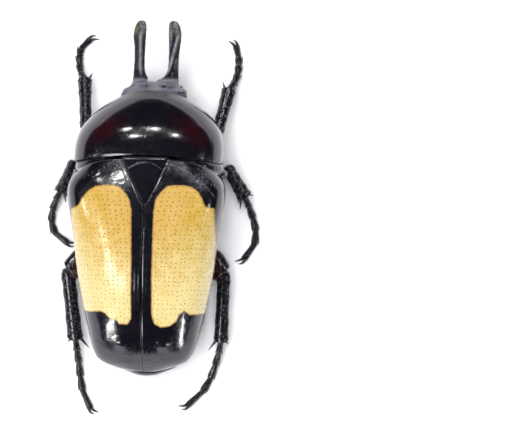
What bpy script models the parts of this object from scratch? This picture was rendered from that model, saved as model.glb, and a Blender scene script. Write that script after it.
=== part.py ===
"""Male two-horned flower beetle, life size, standing on the floor with its legs spread.

The head points along +Y, the back faces +Z, and the feet rest at z = 0.
Sizes are in millimetres and are scaled to metres when a mesh is made.
"""

import math

import bmesh
import bpy
from mathutils import Matrix, Vector

MM = 0.001

# Clearances
GAP = 0.28
JOINT_GAP = 0.2
SEAM = 0.25

# Body: how round the arched plates are, and how thick a wing case is
ARCH = 2.35
# Wing cases are squarer at the shoulders: roundness and station at the rear and at the shoulders
CASE_ARCH = (2.35, 3.1)
CASE_ARCH_FADE = (-4.0, 2.5)
BELLY_ARCH = 2.2
CASE_THICKNESS = 0.45
CASE_TUCK = 0.04
CASE_ACROSS = 11
CASE_ALONG = 20
SHOULDER_BOW = 0.5
SHOULDER_CUT = 0.6
SHOULDER_FADE = 6.0

# Wing cases, front to back: station, half width, height of the side edge, height of the crown,
# and how far the side edge is turned down
CASE_ROWS = (
    (4.47, 5.55, 5.00, 7.70, 0.70),
    (3.00, 6.05, 5.30, 7.95, 1.10),
    (1.20, 6.10, 5.40, 8.12, 1.20),
    (-1.50, 5.78, 5.25, 8.19, 1.10),
    (-4.50, 5.50, 4.95, 8.00, 0.85),
    (-7.00, 5.05, 4.60, 7.40, 0.60),
    (-9.00, 4.50, 4.25, 6.60, 0.40),
    (-10.60, 3.85, 3.95, 5.70, 0.30),
    (-11.65, 3.12, 3.75, 4.82, 0.30),
    (-12.25, 2.15, 3.60, 4.20, 0.30),
    (-12.55, 0.95, 3.50, 3.82, 0.30),
)
# How much wider than that each wing case is, row by row, on the left and on the right
CASE_EXTRA = {
    -1: (0.10, 0.18, 0.18, 0.05, -0.06, -0.06, 0.02, 0.30, 0.45, 0.15, 0.05),
    1: (0.00, 0.00, 0.00, -0.12, -0.13, -0.12, 0.00, 0.20, 0.24, -0.15, -0.05),
}
# Wing cases and hind body lean a little to the left behind these stations
CASE_LEAN = 0.0155
CASE_LEAN_START = 0.9
TAIL_LEAN = 0.018
TAIL_LEAN_START = -4.3

# Trunk under the wing cases: station, upper half width, lower half width, ledge, crown, belly
CHEST_ROWS = (
    (3.95, 4.75, 5.60, 3.75, 6.75, 1.60),
    (3.10, 5.05, 5.85, 3.80, 7.05, 1.10),
    (1.20, 5.15, 5.80, 3.80, 7.25, 0.85),
    (-1.50, 4.85, 5.50, 3.75, 7.35, 0.80),
    (-4.00, 4.60, 5.25, 3.70, 7.15, 0.85),
)
BELLY_ROWS = (
    (-4.28, 4.55, 5.15, 3.70, 7.10, 0.90),
    (-7.00, 4.10, 4.75, 3.60, 6.50, 0.95),
    (-9.00, 3.50, 4.20, 3.45, 5.55, 1.10),
    (-10.50, 2.80, 3.60, 3.25, 4.60, 1.35),
    (-11.35, 2.05, 2.95, 3.10, 3.90, 1.60),
)
BELLY_SEGMENTS = 5
SEGMENT_STEP = 0.09

# Bosses on the trunk's sides and underside: centre (given for the right) and radii
KEEL = ((0, 2.7, 1.35), (0.75, 1.5, 0.75))
FORE_COXA = ((1.25, 7.35, 1.75), (1.05, 0.85, 0.75))
MID_COXA = ((1.45, 2.05, 1.25), (1.15, 0.75, 0.72))
HIND_COXA = ((2.5, -3.0, 1.4), (2.3, 0.7, 0.75))
SHOULDER = ((5.72, 3.5, 3.4), (0.5, 0.44, 0.8))

# Last plate of the body, behind the wing cases: station, half width, low edge, high edge
TAIL_ROWS = (
    (-11.66, 3.00, 1.45, 3.10),
    (-12.28, 2.42, 1.30, 3.05),
    (-12.75, 1.42, 1.35, 2.95),
    (-13.05, 0.60, 1.65, 2.60),
)

# Neck shield: station, half width, height of the side edge, crown, underside
SHIELD_ROWS = (
    (4.25, 5.97, 4.50, 7.80, 1.95),
    (5.60, 5.95, 4.45, 7.82, 1.90),
    (6.60, 5.72, 4.35, 7.66, 1.90),
    (7.40, 5.28, 4.25, 7.34, 1.90),
    (8.20, 4.62, 4.15, 6.88, 1.90),
    (8.85, 3.85, 4.05, 6.35, 1.95),
    (9.38, 3.05, 3.95, 5.72, 2.00),
)
SHIELD_FRONT_BOW = 0.58
SHIELD_HIND_BOW = 0.50
LEAN = math.tan(math.radians(3.0))
LEAN_START = 6.5

# Scutellum, the long triangle between the wing cases
SCUTELLUM_BASE = 4.45
SCUTELLUM_TIP = 0.86
SCUTELLUM_HALF = 1.70
SCUTELLUM_THICKNESS = 0.5

# Head: station, half width, middle height, rise above it, drop below it
HEAD_ROWS = (
    (8.95, 1.55, 3.55, 0.80, 0.90),
    (9.45, 2.05, 3.58, 1.12, 1.05),
    (9.95, 2.16, 3.60, 1.18, 1.10),
    (10.45, 1.98, 3.62, 0.95, 1.00),
    (10.78, 1.86, 3.62, 0.58, 0.72),
)
EYE = ((2.03, 9.95, 3.62), (0.56, 0.42, 0.62))
MOUTH = ((0, 10.15, 2.6), (1.15, 0.55, 0.42))
PALP = ((0.75, 10.1, 2.3), (0.95, 10.5, 2.15), (0.8, 10.75, 2.1))
PALP_HALVES = (0.2, 0.22, 0.14)

# Room in the front of the shield for the head: station, half width, rise, drop
NECK_ROOM = (
    (8.60, 1.50, 0.90, 0.90),
    (9.10, 2.05, 1.25, 1.20),
    (9.60, 2.55, 1.50, 1.30),
    (10.60, 2.95, 1.50, 1.30),
)
NECK_HEIGHT = 3.55

# Feeler, folded under the head: its stalk, and the club's three leaves
STALK = ((1.88, 10.35, 2.62), (1.98, 10.52, 2.25), (1.75, 10.52, 2.0), (1.35, 10.42, 1.88))
STALK_HALVES = (0.2, 0.24, 0.2, 0.2)
CLUB_ROOT = (1.40, 10.42, 1.88)
CLUB_TIP = (0.42, 10.62, 1.72)
LEAF_SPREAD = (0.08, -0.28, 0.0)
LEAF_HALVES = (0.12, 0.16, 0.17, 0.09)
LEAF_DEPTHS = (0.16, 0.30, 0.32, 0.16)

# Horn: station, centre line's distance from the middle, half width, half thickness
HORN_ROWS = (
    (11.00, 1.15, 0.71, 0.42),
    (11.22, 1.24, 0.60, 0.38),
    (11.60, 1.35, 0.46, 0.33),
    (12.60, 1.38, 0.40, 0.29),
    (13.60, 1.40, 0.44, 0.27),
    (14.40, 1.42, 0.51, 0.26),
    (15.00, 1.38, 0.48, 0.24),
    (15.40, 1.31, 0.35, 0.20),
    (15.62, 1.26, 0.16, 0.12),
)
HORN_LOW = 3.58
HORN_RISE = 1.5

# Legs: each pair's tarsus as shares of its length, then half widths of its segments and necks
TARSUS_SHARES = {
    "fore": (0.13, 0.19, 0.19, 0.18, 0.31),
    "mid": (0.12, 0.17, 0.20, 0.20, 0.31),
    "hind": (0.12, 0.17, 0.20, 0.20, 0.31),
}
TARSUS_HALF = (0.28, 0.33, 0.34, 0.34, 0.30)
TARSUS_NECK = 0.22
TARSUS_DEPTH = 0.28
FLOOR_RISE = 0.24
CLAW_LENGTH = 0.62
CLAW_HALF = 0.13
TIBIA_HALF = {
    "fore_l": (0.45, 0.54), "fore_r": (0.45, 0.54), "mid_l": (0.34, 0.50),
    "mid_r": (0.48, 0.58), "hind_l": (0.54, 0.60), "hind_r": (0.50, 0.55),
}
# Spines on a tibia: share of its length, +1 outer or -1 inner edge, reach, lean to the foot
TIBIA_SPINES = {
    "fore": ((0.97, 1, 0.14, 1.4), (0.70, 1, 0.10, 0.8), (0.95, -1, 0.50, 1.7)),
    "mid": ((0.97, 1, 0.24, 0.9), (0.60, 1, 0.14, 0.8), (0.33, 1, 0.10, 0.8),
            (0.96, -1, 0.75, 1.6), (0.88, -1, 0.45, 1.2)),
    "hind": ((0.97, 1, 0.22, 1.0), (0.66, 1, 0.14, 0.8), (0.35, 1, 0.10, 0.8),
             (0.96, -1, 1.00, 1.4), (0.92, -1, 0.60, 1.9), (0.55, -1, 0.12, 0.8)),
}
FEMUR_HALF = {"fore": (0.48, 0.78, 0.60), "mid": (0.48, 0.80, 0.58), "hind": (0.52, 1.08, 0.84)}
FEMUR_DEPTH = 0.52
KNEE_ROOM = 0.42

# The pose of each leg: hip, femur's bend, knee and ankle, then the tarsus's
# length and the heading of each of its five segments, in degrees from +X
LEGS = {
    "fore_l": {
        "hip": (-1.75, 7.50, 1.45), "bend": (-3.70, 7.60, 1.60),
        "knee": (-5.57, 7.11, 2.20), "ankle": (-5.87, 11.22, 1.40),
        "tarsus": 3.80, "headings": (146, 105, 95, 80, 45),
    },
    "fore_r": {
        "hip": (1.85, 7.45, 1.45), "bend": (3.70, 7.35, 1.60),
        "knee": (5.24, 6.94, 2.20), "ankle": (6.07, 10.54, 1.40),
        "tarsus": 3.78, "headings": (48, 72, 84, 91, 104),
    },
    "mid_l": {
        "hip": (-1.75, 2.10, 1.20), "bend": (-4.30, 3.20, 1.50),
        "knee": (-6.59, 4.24, 2.35), "ankle": (-7.69, 1.88, 1.35),
        "tarsus": 5.04, "headings": (-125, -112, -99, -74, -37),
    },
    "mid_r": {
        "hip": (1.75, 2.10, 1.20), "bend": (4.10, 3.05, 1.50),
        "knee": (6.16, 4.03, 2.35), "ankle": (7.53, 1.72, 1.35),
        "tarsus": 5.50, "headings": (-69, -70, -76, -93, -124),
    },
    "hind_l": {
        "hip": (-1.90, -3.35, 1.25), "bend": (-5.35, -3.60, 1.55),
        "knee": (-6.82, -4.75, 1.95), "ankle": (-6.20, -10.31, 1.25),
        "tarsus": 5.90, "headings": (-85, -84, -84, -81, -65),
    },
    "hind_r": {
        "hip": (1.90, -3.35, 1.25), "bend": (4.75, -3.50, 1.55),
        "knee": (6.00, -4.70, 1.95), "ankle": (5.82, -10.21, 1.25),
        "tarsus": 6.20, "headings": (-103, -105, -109, -119, -136),
    },
}

BLACK = (0.012, 0.012, 0.015)
HORN_GREY = (0.035, 0.036, 0.038)
YELLOW = (0.78, 0.50, 0.10)
EYE_BROWN = (0.03, 0.02, 0.016)


def clear_scene():
    for obj in list(bpy.data.objects):
        bpy.data.objects.remove(obj, do_unlink=True)


def new_collection(name):
    collection = bpy.data.collections.new(name)
    bpy.context.scene.collection.children.link(collection)
    return collection


def finish(obj, colour, roughness):
    """Give a node its own plain material."""
    material = bpy.data.materials.new(obj.name)
    material.use_nodes = True
    shader = material.node_tree.nodes["Principled BSDF"]
    shader.inputs["Base Color"].default_value = (*colour, 1.0)
    shader.inputs["Roughness"].default_value = roughness
    shader.inputs["Metallic"].default_value = 0.0
    obj.data.materials.clear()
    obj.data.materials.append(material)
    obj.data.shade_smooth()
    obj.data.set_sharp_from_angle(angle=math.radians(50))


def spline(rows, at):
    """A smooth curve through rows of numbers, read at a fractional row."""
    last = len(rows) - 1
    i = min(int(at), last - 1)
    t = at - i
    a, b, c, d = (rows[max(0, min(last, k))] for k in (i - 1, i, i + 1, i + 2))
    return tuple(
        0.5 * (2 * q + (r - p) * t + (2 * p - 5 * q + 4 * r - s) * t ** 2
               + (3 * q - p - 3 * r + s) * t ** 3)
        for p, q, r, s in zip(a, b, c, d)
    )


def refine(rows, count):
    """The same smooth curve as count rows at even steps."""
    last = len(rows) - 1
    return [spline(rows, last * k / (count - 1)) for k in range(count)]


def arch(half, rise, angle, roundness):
    """A point of a flattened arch: across, and up from its springing."""
    return (
        half * math.sin(angle) ** (2 / roundness),
        rise * math.cos(angle) ** (2 / roundness),
    )


def leaned(point):
    """Head and shield lean a little to the right, more so towards the front."""
    x, y, z = point
    return Vector((x + (y - LEAN_START) * LEAN, y, z))


def new_object(name, mesh, collection):
    obj = bpy.data.objects.new(name, mesh)
    collection.objects.link(obj)
    return obj


def body_through(name, rings, collection):
    """A closed body lofted through rings of points and capped at both ends."""
    bm = bmesh.new()
    loops = [[bm.verts.new(Vector(point) * MM) for point in ring] for ring in rings]
    count = len(loops[0])
    for lower, upper in zip(loops, loops[1:]):
        for k in range(count):
            n = (k + 1) % count
            bm.faces.new((lower[k], lower[n], upper[n], upper[k]))
    bm.faces.new(list(reversed(loops[0])))
    bm.faces.new(loops[-1])
    bmesh.ops.recalc_face_normals(bm, faces=bm.faces)
    mesh = bpy.data.meshes.new(name)
    bm.to_mesh(mesh)
    bm.free()
    return new_object(name, mesh, collection)


def ball(name, centre, radii, collection, segments=12, rings=8):
    """An ellipsoid with its axes along the world's."""
    bm = bmesh.new()
    bmesh.ops.create_uvsphere(bm, u_segments=segments, v_segments=rings, radius=1.0)
    bmesh.ops.scale(bm, vec=Vector(radii) * MM, verts=bm.verts)
    bmesh.ops.translate(bm, vec=Vector(centre) * MM, verts=bm.verts)
    mesh = bpy.data.meshes.new(name)
    bm.to_mesh(mesh)
    bm.free()
    return new_object(name, mesh, collection)


def limb_rings(path, halves, depths, sides, on_floor=False):
    """Oval rings square to a path, each with its own half width and half depth."""
    points = [Vector(point) for point in path]
    rings = []
    for i, point in enumerate(points):
        ahead = points[min(i + 1, len(points) - 1)]
        behind = points[max(i - 1, 0)]
        along = (ahead - behind).normalized()
        across = along.cross(Vector((0, 0, 1))).normalized()
        up = across.cross(along)
        ring = []
        for k in range(sides):
            angle = 2 * math.pi * (k + 0.5) / sides
            spot = point + across * halves[i] * math.cos(angle) + up * depths[i] * math.sin(angle)
            if on_floor:
                spot.z = max(spot.z, 0.0)
            ring.append(spot)
        rings.append(ring)
    return rings


def spike(name, root, tip, half, collection, sides=4):
    """A short tapered spine from a sunk root to a blunt tip."""
    root, tip = Vector(root), Vector(tip)
    bm = bmesh.new()
    bmesh.ops.create_cone(
        bm, cap_ends=True, segments=sides, radius1=half, radius2=half * 0.3,
        depth=(tip - root).length)
    turn = (tip - root).to_track_quat("Z", "Y").to_matrix().to_4x4()
    bmesh.ops.transform(bm, matrix=Matrix.Translation((root + tip) / 2) @ turn, verts=bm.verts)
    bmesh.ops.scale(bm, vec=(MM, MM, MM), verts=bm.verts)
    mesh = bpy.data.meshes.new(name)
    bm.to_mesh(mesh)
    bm.free()
    return new_object(name, mesh, collection)


def keep_largest(mesh):
    """Drop every loose surface of a mesh but the one with the most faces."""
    bm = bmesh.new()
    bm.from_mesh(mesh)
    unseen = set(bm.faces)
    best = set()
    while unseen:
        island = set()
        stack = [unseen.pop()]
        while stack:
            face = stack.pop()
            island.add(face)
            for edge in face.edges:
                for other in edge.link_faces:
                    if other in unseen:
                        unseen.discard(other)
                        stack.append(other)
        if len(island) > len(best):
            best = island
    bmesh.ops.delete(bm, geom=[f for f in bm.faces if f not in best], context="FACES")
    bm.to_mesh(mesh)
    bm.free()


def combine(body, pieces, operation):
    """Fuse pieces to a body, or cut them from it, and keep the one body that results."""
    tools = new_collection(body.name + " tools")
    for piece in pieces:
        for owner in list(piece.users_collection):
            owner.objects.unlink(piece)
        tools.objects.link(piece)
        piece.hide_render = True
        piece.display_type = "WIRE"
    modifier = body.modifiers.new("Combine", "BOOLEAN")
    modifier.operation = operation
    modifier.operand_type = "COLLECTION"
    modifier.collection = tools
    bpy.context.view_layer.update()
    depsgraph = bpy.context.evaluated_depsgraph_get()
    mesh = bpy.data.meshes.new_from_object(body.evaluated_get(depsgraph))
    body.modifiers.clear()
    body.data = mesh
    keep_largest(mesh)
    for piece in pieces:
        bpy.data.objects.remove(piece, do_unlink=True)
    bpy.data.collections.remove(tools)


def scutellum_half(y):
    """Half width of the scutellum at a station."""
    share = (y - SCUTELLUM_TIP) / (SCUTELLUM_BASE - SCUTELLUM_TIP)
    return SCUTELLUM_HALF * max(0.0, min(1.0, share)) ** 0.85


def case_roundness(y):
    share = min(1.0, max(0.0, (y - CASE_ARCH_FADE[0]) / (CASE_ARCH_FADE[1] - CASE_ARCH_FADE[0])))
    return CASE_ARCH[0] + (CASE_ARCH[1] - CASE_ARCH[0]) * share * share * (3 - 2 * share)


def swung(point, start, lean):
    """Behind a station the body bends a little to the left."""
    x, y, z = point
    return Vector((x + min(0.0, y - start) * lean, y, z))


def case_point(side, across, along):
    """A point on a wing case's outer face, from the seam to its side edge."""
    rows = [(y, half + extra, edge, crown, lip)
            for (y, half, edge, crown, lip), extra in zip(CASE_ROWS, CASE_EXTRA[side])]
    y, half, edge, crown, lip = spline(rows, along * (len(rows) - 1))
    inner = SEAM / 2
    if y > SCUTELLUM_TIP - SEAM:
        inner = max(inner, scutellum_half(y) + SEAM * 1.1)
    roundness = case_roundness(y)
    start = math.asin((inner / half) ** (roundness / 2))
    angle = start + (math.pi / 2 - start) * min(across, 1.0)
    x, rise = arch(half, crown - edge, angle, roundness)
    cut = SHOULDER_BOW * (x / half) ** 2 + SHOULDER_CUT * (x / half) ** 4
    fade = max(0.0, 1 - along * SHOULDER_FADE)
    z = edge + rise
    if across > 1:
        x -= CASE_TUCK
        z -= lip
    return swung((side * x, y - cut * fade, z), CASE_LEAN_START, CASE_LEAN)


def wing_case(name, side, collection):
    """One wing case: an arched shell with its side edge turned down."""
    bm = bmesh.new()
    grid = []
    for j in range(CASE_ALONG + 1):
        along = j / CASE_ALONG
        row = [case_point(side, i / CASE_ACROSS, along) for i in range(CASE_ACROSS + 2)]
        grid.append([bm.verts.new(point * MM) for point in row])
    for near, far in zip(grid, grid[1:]):
        for k in range(len(near) - 1):
            corners = (near[k], far[k], far[k + 1], near[k + 1])
            bm.faces.new(corners if side < 0 else tuple(reversed(corners)))
    bmesh.ops.triangulate(bm, faces=bm.faces)
    up = sum(face.normal.z * face.calc_area() for face in bm.faces)
    if up < 0:
        bmesh.ops.reverse_faces(bm, faces=bm.faces)
    mesh = bpy.data.meshes.new(name)
    bm.to_mesh(mesh)
    bm.free()
    obj = new_object(name, mesh, collection)
    shell = obj.modifiers.new("Thickness", "SOLIDIFY")
    shell.thickness = CASE_THICKNESS * MM
    shell.offset = -1
    shell.use_even_offset = True
    finish(obj, YELLOW, 0.25)
    return obj


def trunk_ring(row):
    """A section of the trunk: arched back, ledge under the wing cases, round belly."""
    y, upper, lower, ledge, crown, belly = row
    steps = 5
    right = []
    for k in range(1, steps + 1):
        x, rise = arch(upper, crown - ledge - 0.1, math.pi / 2 * k / steps, ARCH)
        right.append((x, y, ledge + 0.1 + rise))
    for k in range(steps):
        x, drop = arch(lower, ledge - belly, math.pi / 2 * (1 - k / steps), BELLY_ARCH)
        right.append((x, y, ledge - drop))
    left = [(-x, y, z) for x, y, z in reversed(right)]
    return [(0, y, crown), *right, (0, y, belly), *left]


def chest(collection):
    """The trunk from the neck shield to the hind legs, with the legs' coxae on it."""
    body = body_through("thorax", [trunk_ring(row) for row in refine(CHEST_ROWS, 8)], collection)
    pieces = [ball("keel", *KEEL, collection, 8, 6)]
    for side in (-1, 1):
        for (x, y, z), radii in (MID_COXA, HIND_COXA, SHOULDER):
            pieces.append(ball("boss", (side * x, y, z), radii, collection, 10, 6))
    combine(body, pieces, "UNION")
    finish(body, BLACK, 0.2)
    return body


def belly(collection):
    """The hind body, each segment stepping in a little behind the one before."""
    rows = []
    for k in range(BELLY_SEGMENTS):
        for share, step in ((0.02, 0.0), (0.9, SEGMENT_STEP * 0.3), (0.97, SEGMENT_STEP)):
            at = (k + share) / BELLY_SEGMENTS * (len(BELLY_ROWS) - 1)
            y, upper, lower, ledge, crown, low = spline(BELLY_ROWS, at)
            rows.append((y, upper, lower - step, ledge, crown, low + step))
    rings = [[swung(point, TAIL_LEAN_START, TAIL_LEAN) for point in trunk_ring(row)]
             for row in rows]
    body = body_through("abdomen", rings, collection)
    finish(body, BLACK, 0.25)
    return body


def tail_plate(collection):
    """The last plate, a blunt cap that closes the hind body."""
    rings = []
    for y, half, low, high in refine(TAIL_ROWS, 5):
        middle, rise = (low + high) / 2, (high - low) / 2
        ring = []
        for k in range(16):
            a = 2 * math.pi * k / 16
            point = (half * math.cos(a), y, middle + rise * math.sin(a))
            ring.append(swung(point, TAIL_LEAN_START, TAIL_LEAN))
        rings.append(ring)
    body = body_through("pygidium", rings, collection)
    finish(body, BLACK, 0.25)
    return body


def shield_ring(row, bow):
    """A section of the neck shield, bowed forwards or backwards in the middle."""
    y, half, edge, crown, under = row
    steps = 8
    right = []
    for k in range(1, steps + 1):
        x, rise = arch(half, crown - edge, math.pi / 2 * k / steps, ARCH)
        right.append((x, edge + rise))
    for k in range(1, steps - 2):
        x, drop = arch(half, edge - under, math.pi / 2 * (1 - k / (steps - 2)), BELLY_ARCH)
        right.append((x, edge - drop))
    outline = [(0, crown), *right, (0, under), *((-x, z) for x, z in reversed(right))]
    ring = []
    for x, z in outline:
        lift = (z - under) / (crown - under)
        ring.append(leaned((x, y + bow * lift * (1 - (x / half) ** 2), z)))
    return ring


def neck_shield(collection):
    """The pronotum with the underside of its segment, hollowed in front for the head."""
    rows = refine(SHIELD_ROWS, 10)
    last = len(rows) - 1
    rings = []
    for k, row in enumerate(rows):
        share = k / last
        bow = SHIELD_FRONT_BOW * share ** 2 + SHIELD_HIND_BOW * (1 - share) ** 2
        rings.append(shield_ring(row, bow))
    body = body_through("pronotum", rings, collection)
    (x, y, z), radii = FORE_COXA
    coxae = [ball("coxa", leaned((side * x, y, z)), radii, collection, 10, 6) for side in (-1, 1)]
    combine(body, coxae, "UNION")
    hollow = []
    for y, half, rise, drop in NECK_ROOM:
        ring = []
        for k in range(16):
            a = 2 * math.pi * k / 16
            height = rise if math.sin(a) > 0 else drop
            ring.append(leaned((half * math.cos(a), y, NECK_HEIGHT + height * math.sin(a))))
        hollow.append(ring)
    combine(body, [body_through("hollow", hollow, collection)], "DIFFERENCE")
    finish(body, BLACK, 0.18)
    return body


def scutellum(collection):
    """The long triangular plate between the wing cases."""
    rings = []
    for k in range(6):
        y = SCUTELLUM_BASE + (SCUTELLUM_TIP + 0.2 - SCUTELLUM_BASE) * k / 5
        half = max(scutellum_half(y), 0.1)
        top = 8.08 - 0.035 * (y - SCUTELLUM_TIP)
        bottom = top - SCUTELLUM_THICKNESS
        rings.append([(-half, y, top - 0.06), (0, y, top), (half, y, top - 0.06),
                      (half, y, bottom), (-half, y, bottom)])
    body = body_through("scutellum", rings, collection)
    finish(body, BLACK, 0.2)
    return body


def head(collection):
    """The head: a flattened box between the eyes, broad in front where the horns start."""
    rings = []
    for y, half, middle, rise, drop in refine(HEAD_ROWS, 8):
        ring = []
        for k in range(20):
            a = 2 * math.pi * k / 20
            height = rise if math.sin(a) > 0 else drop
            flat = 2 / 2.6
            x = half * math.copysign(abs(math.cos(a)) ** flat, math.cos(a))
            z = height * math.copysign(abs(math.sin(a)) ** flat, math.sin(a))
            ring.append(leaned((x, y, middle + z)))
        rings.append(ring)
    body = body_through("head", rings, collection)
    mouth = [ball("jaw", leaned(MOUTH[0]), MOUTH[1], collection, 10, 6)]
    for side in (-1, 1):
        path = [leaned((side * x, y, z)) for x, y, z in PALP]
        rings = limb_rings(path, PALP_HALVES, PALP_HALVES, 6)
        mouth.append(body_through("palp", rings, collection))
    combine(body, mouth, "UNION")
    sockets = []
    (x, y, z), radii = EYE
    for side in (-1, 1):
        wide = [radius + JOINT_GAP for radius in radii]
        sockets.append(ball("socket", leaned((side * x, y, z)), wide, collection))
    combine(body, sockets, "DIFFERENCE")
    finish(body, BLACK, 0.3)
    return body


def eye(name, side, collection):
    (x, y, z), radii = EYE
    obj = ball(name, leaned((side * x, y, z)), radii, collection)
    finish(obj, EYE_BROWN, 0.15)
    return obj


def horn(name, side, collection):
    """One horn: flat, waisted above its flared root, spoon-shaped at the tip."""
    rings = []
    first, last = HORN_ROWS[0][0], HORN_ROWS[-1][0]
    for y, offset, half, thick in refine(HORN_ROWS, 13):
        z = HORN_LOW + HORN_RISE * max(0.0, (y - first) / (last - first)) ** 1.3
        ring = []
        for k in range(10):
            a = 2 * math.pi * k / 10
            ring.append(leaned((side * (offset + half * math.cos(a)), y, z + thick * math.sin(a))))
        rings.append(ring)
    obj = body_through(name, rings, collection)
    finish(obj, HORN_GREY, 0.5)
    return obj


def antenna(name, side, collection):
    """Feeler folded under the head: a stalk and a club of three leaves."""
    path = [leaned((side * x, y, z)) for x, y, z in STALK]
    body = body_through(name, limb_rings(path, STALK_HALVES, STALK_HALVES, 6), collection)
    leaves = []
    start = leaned((side * CLUB_ROOT[0], CLUB_ROOT[1], CLUB_ROOT[2]))
    for k in range(3):
        x, y, z = Vector(CLUB_TIP) + Vector(LEAF_SPREAD) * k
        end = leaned((side * x, y, z))
        leaf = [start.lerp(end, share) for share in (0.0, 0.3, 0.75, 1.0)]
        rings = limb_rings(leaf, LEAF_HALVES, LEAF_DEPTHS, 6)
        leaves.append(body_through("leaf", rings, collection))
    combine(body, leaves, "UNION")
    finish(body, BLACK, 0.35)
    return body


def femur_path(pose):
    """Hip to knee on a smooth bend, stopping short of the tibia's side."""
    hip, bend, knee = (Vector(pose[key]) for key in ("hip", "bend", "knee"))
    toward = (knee - bend).normalized()
    end = knee - toward * (KNEE_ROOM + JOINT_GAP)
    rows = [tuple(hip), tuple(hip.lerp(bend, 0.5) - Vector((0, 0, 0.04))), tuple(bend), tuple(end)]
    return [Vector(row) for row in refine(rows, 7)]


def femur_halves(leg, root_share, tip_share):
    """Half widths along a femur, narrower towards the hip and at the knee."""
    root, middle, tip = FEMUR_HALF[leg.split("_")[0]]
    return (root * root_share, root, middle * 0.92, middle, middle, tip * 1.15, tip * tip_share)


def femur(leg, pose, collection):
    """Thigh: flattened, broadest beyond its middle."""
    halves = femur_halves(leg, 0.55, 0.7)
    depths = [min(half, FEMUR_DEPTH - 0.1 * abs(k / 3 - 1)) for k, half in enumerate(halves)]
    rings = limb_rings(femur_path(pose), halves, depths, 10)
    body = body_through("femur_" + leg, rings, collection)
    finish(body, BLACK, 0.22)
    return body


def make_room(carrier, leg, pose, collection):
    """Cut the groove in which a thigh lies close under its plate."""
    halves = [half + GAP for half in femur_halves(leg, 1.0, 1.15)]
    depths = [FEMUR_DEPTH + GAP] * len(halves)
    cutter = body_through("room", limb_rings(femur_path(pose), halves, depths, 10), collection)
    combine(carrier, [cutter], "DIFFERENCE")


def tibia(leg, pose, collection):
    """Shin: wider towards the foot, with spines on its edges and spurs at its end."""
    pair, side = leg.split("_")
    knee, ankle = Vector(pose["knee"]), Vector(pose["ankle"])
    along = (ankle - knee).normalized()
    across = along.cross(Vector((0, 0, 1))).normalized()
    outward = across if across.x * (1 if side == "r" else -1) > 0 else -across
    near, far = TIBIA_HALF[leg]
    shares = (-0.06, 0.02, 0.25, 0.5, 0.75, 0.95, 1.0)
    widths = (0.5, 1.0, 0.95, 0.97, 1.0, 1.0, 0.8)
    path = [knee + (ankle - knee) * share for share in shares]
    halves = [(near + (far - near) * max(share, 0) ** 2) * w for share, w in zip(shares, widths)]
    depths = [min(half, 0.36) for half in halves]
    body = body_through("tibia_" + leg, limb_rings(path, halves, depths, 8), collection)
    spines = []
    length = (ankle - knee).length
    for share, way, reach, lean in TIBIA_SPINES[pair]:
        half = near + (far - near) * share ** 2
        root = knee + along * length * share + outward * way * half * 0.55
        lean_dir = (outward * way + along * lean).normalized()
        tip = root + lean_dir * (half * 0.45 + reach)
        spines.append(spike("spine", root, tip, 0.15 + 0.05 * reach, collection))
    combine(body, spines, "UNION")
    finish(body, BLACK, 0.3)
    return body


def tarsus_path(pair, pose):
    """The joints of a foot: down from the ankle, then along the floor."""
    knee, ankle = Vector(pose["knee"]), Vector(pose["ankle"])
    along = (ankle - knee).normalized()
    spot = ankle + along * JOINT_GAP + Vector((0, 0, -0.1))
    joints = [spot]
    levels = (0.85, 0.5, 0.26, FLOOR_RISE, FLOOR_RISE)
    for share, heading, level in zip(TARSUS_SHARES[pair], pose["headings"], levels):
        angle = math.radians(heading)
        step = Vector((math.cos(angle), math.sin(angle), 0)) * pose["tarsus"] * share
        spot = Vector((spot.x + step.x, spot.y + step.y, level))
        joints.append(spot)
    return joints


def tarsus(leg, pose, collection):
    """Foot: five segments that widen to their ends, with end spines and two claws."""
    pair, side = leg.split("_")
    joints = tarsus_path(pair, pose)
    path, halves = [], []
    for wide, start, end in zip(TARSUS_HALF, joints, joints[1:]):
        for share, half in ((0.08, TARSUS_NECK), (0.6, wide * 0.9), (0.97, wide)):
            path.append(start.lerp(end, share))
            halves.append(half)
    halves[-1] = TARSUS_HALF[-1] * 0.75
    depths = [min(half, TARSUS_DEPTH) for half in halves]
    body = body_through("tarsus_" + leg, limb_rings(path, halves, depths, 6, True), collection)
    pieces = []
    inward = -1 if side == "r" else 1
    for k, (start, end) in enumerate(zip(joints, joints[1:])):
        along = (end - start).normalized()
        across = along.cross(Vector((0, 0, 1))).normalized()
        if across.x * inward < 0:
            across = -across
        if k < 4:
            root = start.lerp(end, 0.88) + across * 0.1
            tip = root + along * 0.3 + across * 0.36
            tip.z = max(tip.z, 0.06)
            root.z = max(root.z, 0.16)
            pieces.append(spike("spine", root, tip, 0.12, collection))
            continue
        for way in (-1, 1):
            points = []
            for step in range(4):
                share = step / 3
                turn = way * (0.12 + 0.12 * share) + 0.32 * share ** 2
                drop = 0.05 + 0.12 * math.sin(math.pi * min(1, share * 1.2))
                points.append(end - along * 0.12 + along * CLAW_LENGTH * share
                              + across * turn + Vector((0, 0, drop)))
            taper = [CLAW_HALF, CLAW_HALF, CLAW_HALF * 0.75, CLAW_HALF * 0.3]
            pieces.append(body_through("claw", limb_rings(points, taper, taper, 5, True), collection))
    combine(body, pieces, "UNION")
    finish(body, BLACK, 0.35)
    return body


def stand_on_origin(collection):
    """Hang every node on one empty, so that the origin is under the middle of the whole."""
    corners = [v.co for obj in collection.objects for v in obj.data.vertices]
    middle = [(min(c[k] for c in corners) + max(c[k] for c in corners)) / 2 for k in (0, 1)]
    root = bpy.data.objects.new("beetle", None)
    root.location = (-middle[0], -middle[1], 0.0)
    for obj in collection.objects:
        obj.parent = root
    collection.objects.link(root)


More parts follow.
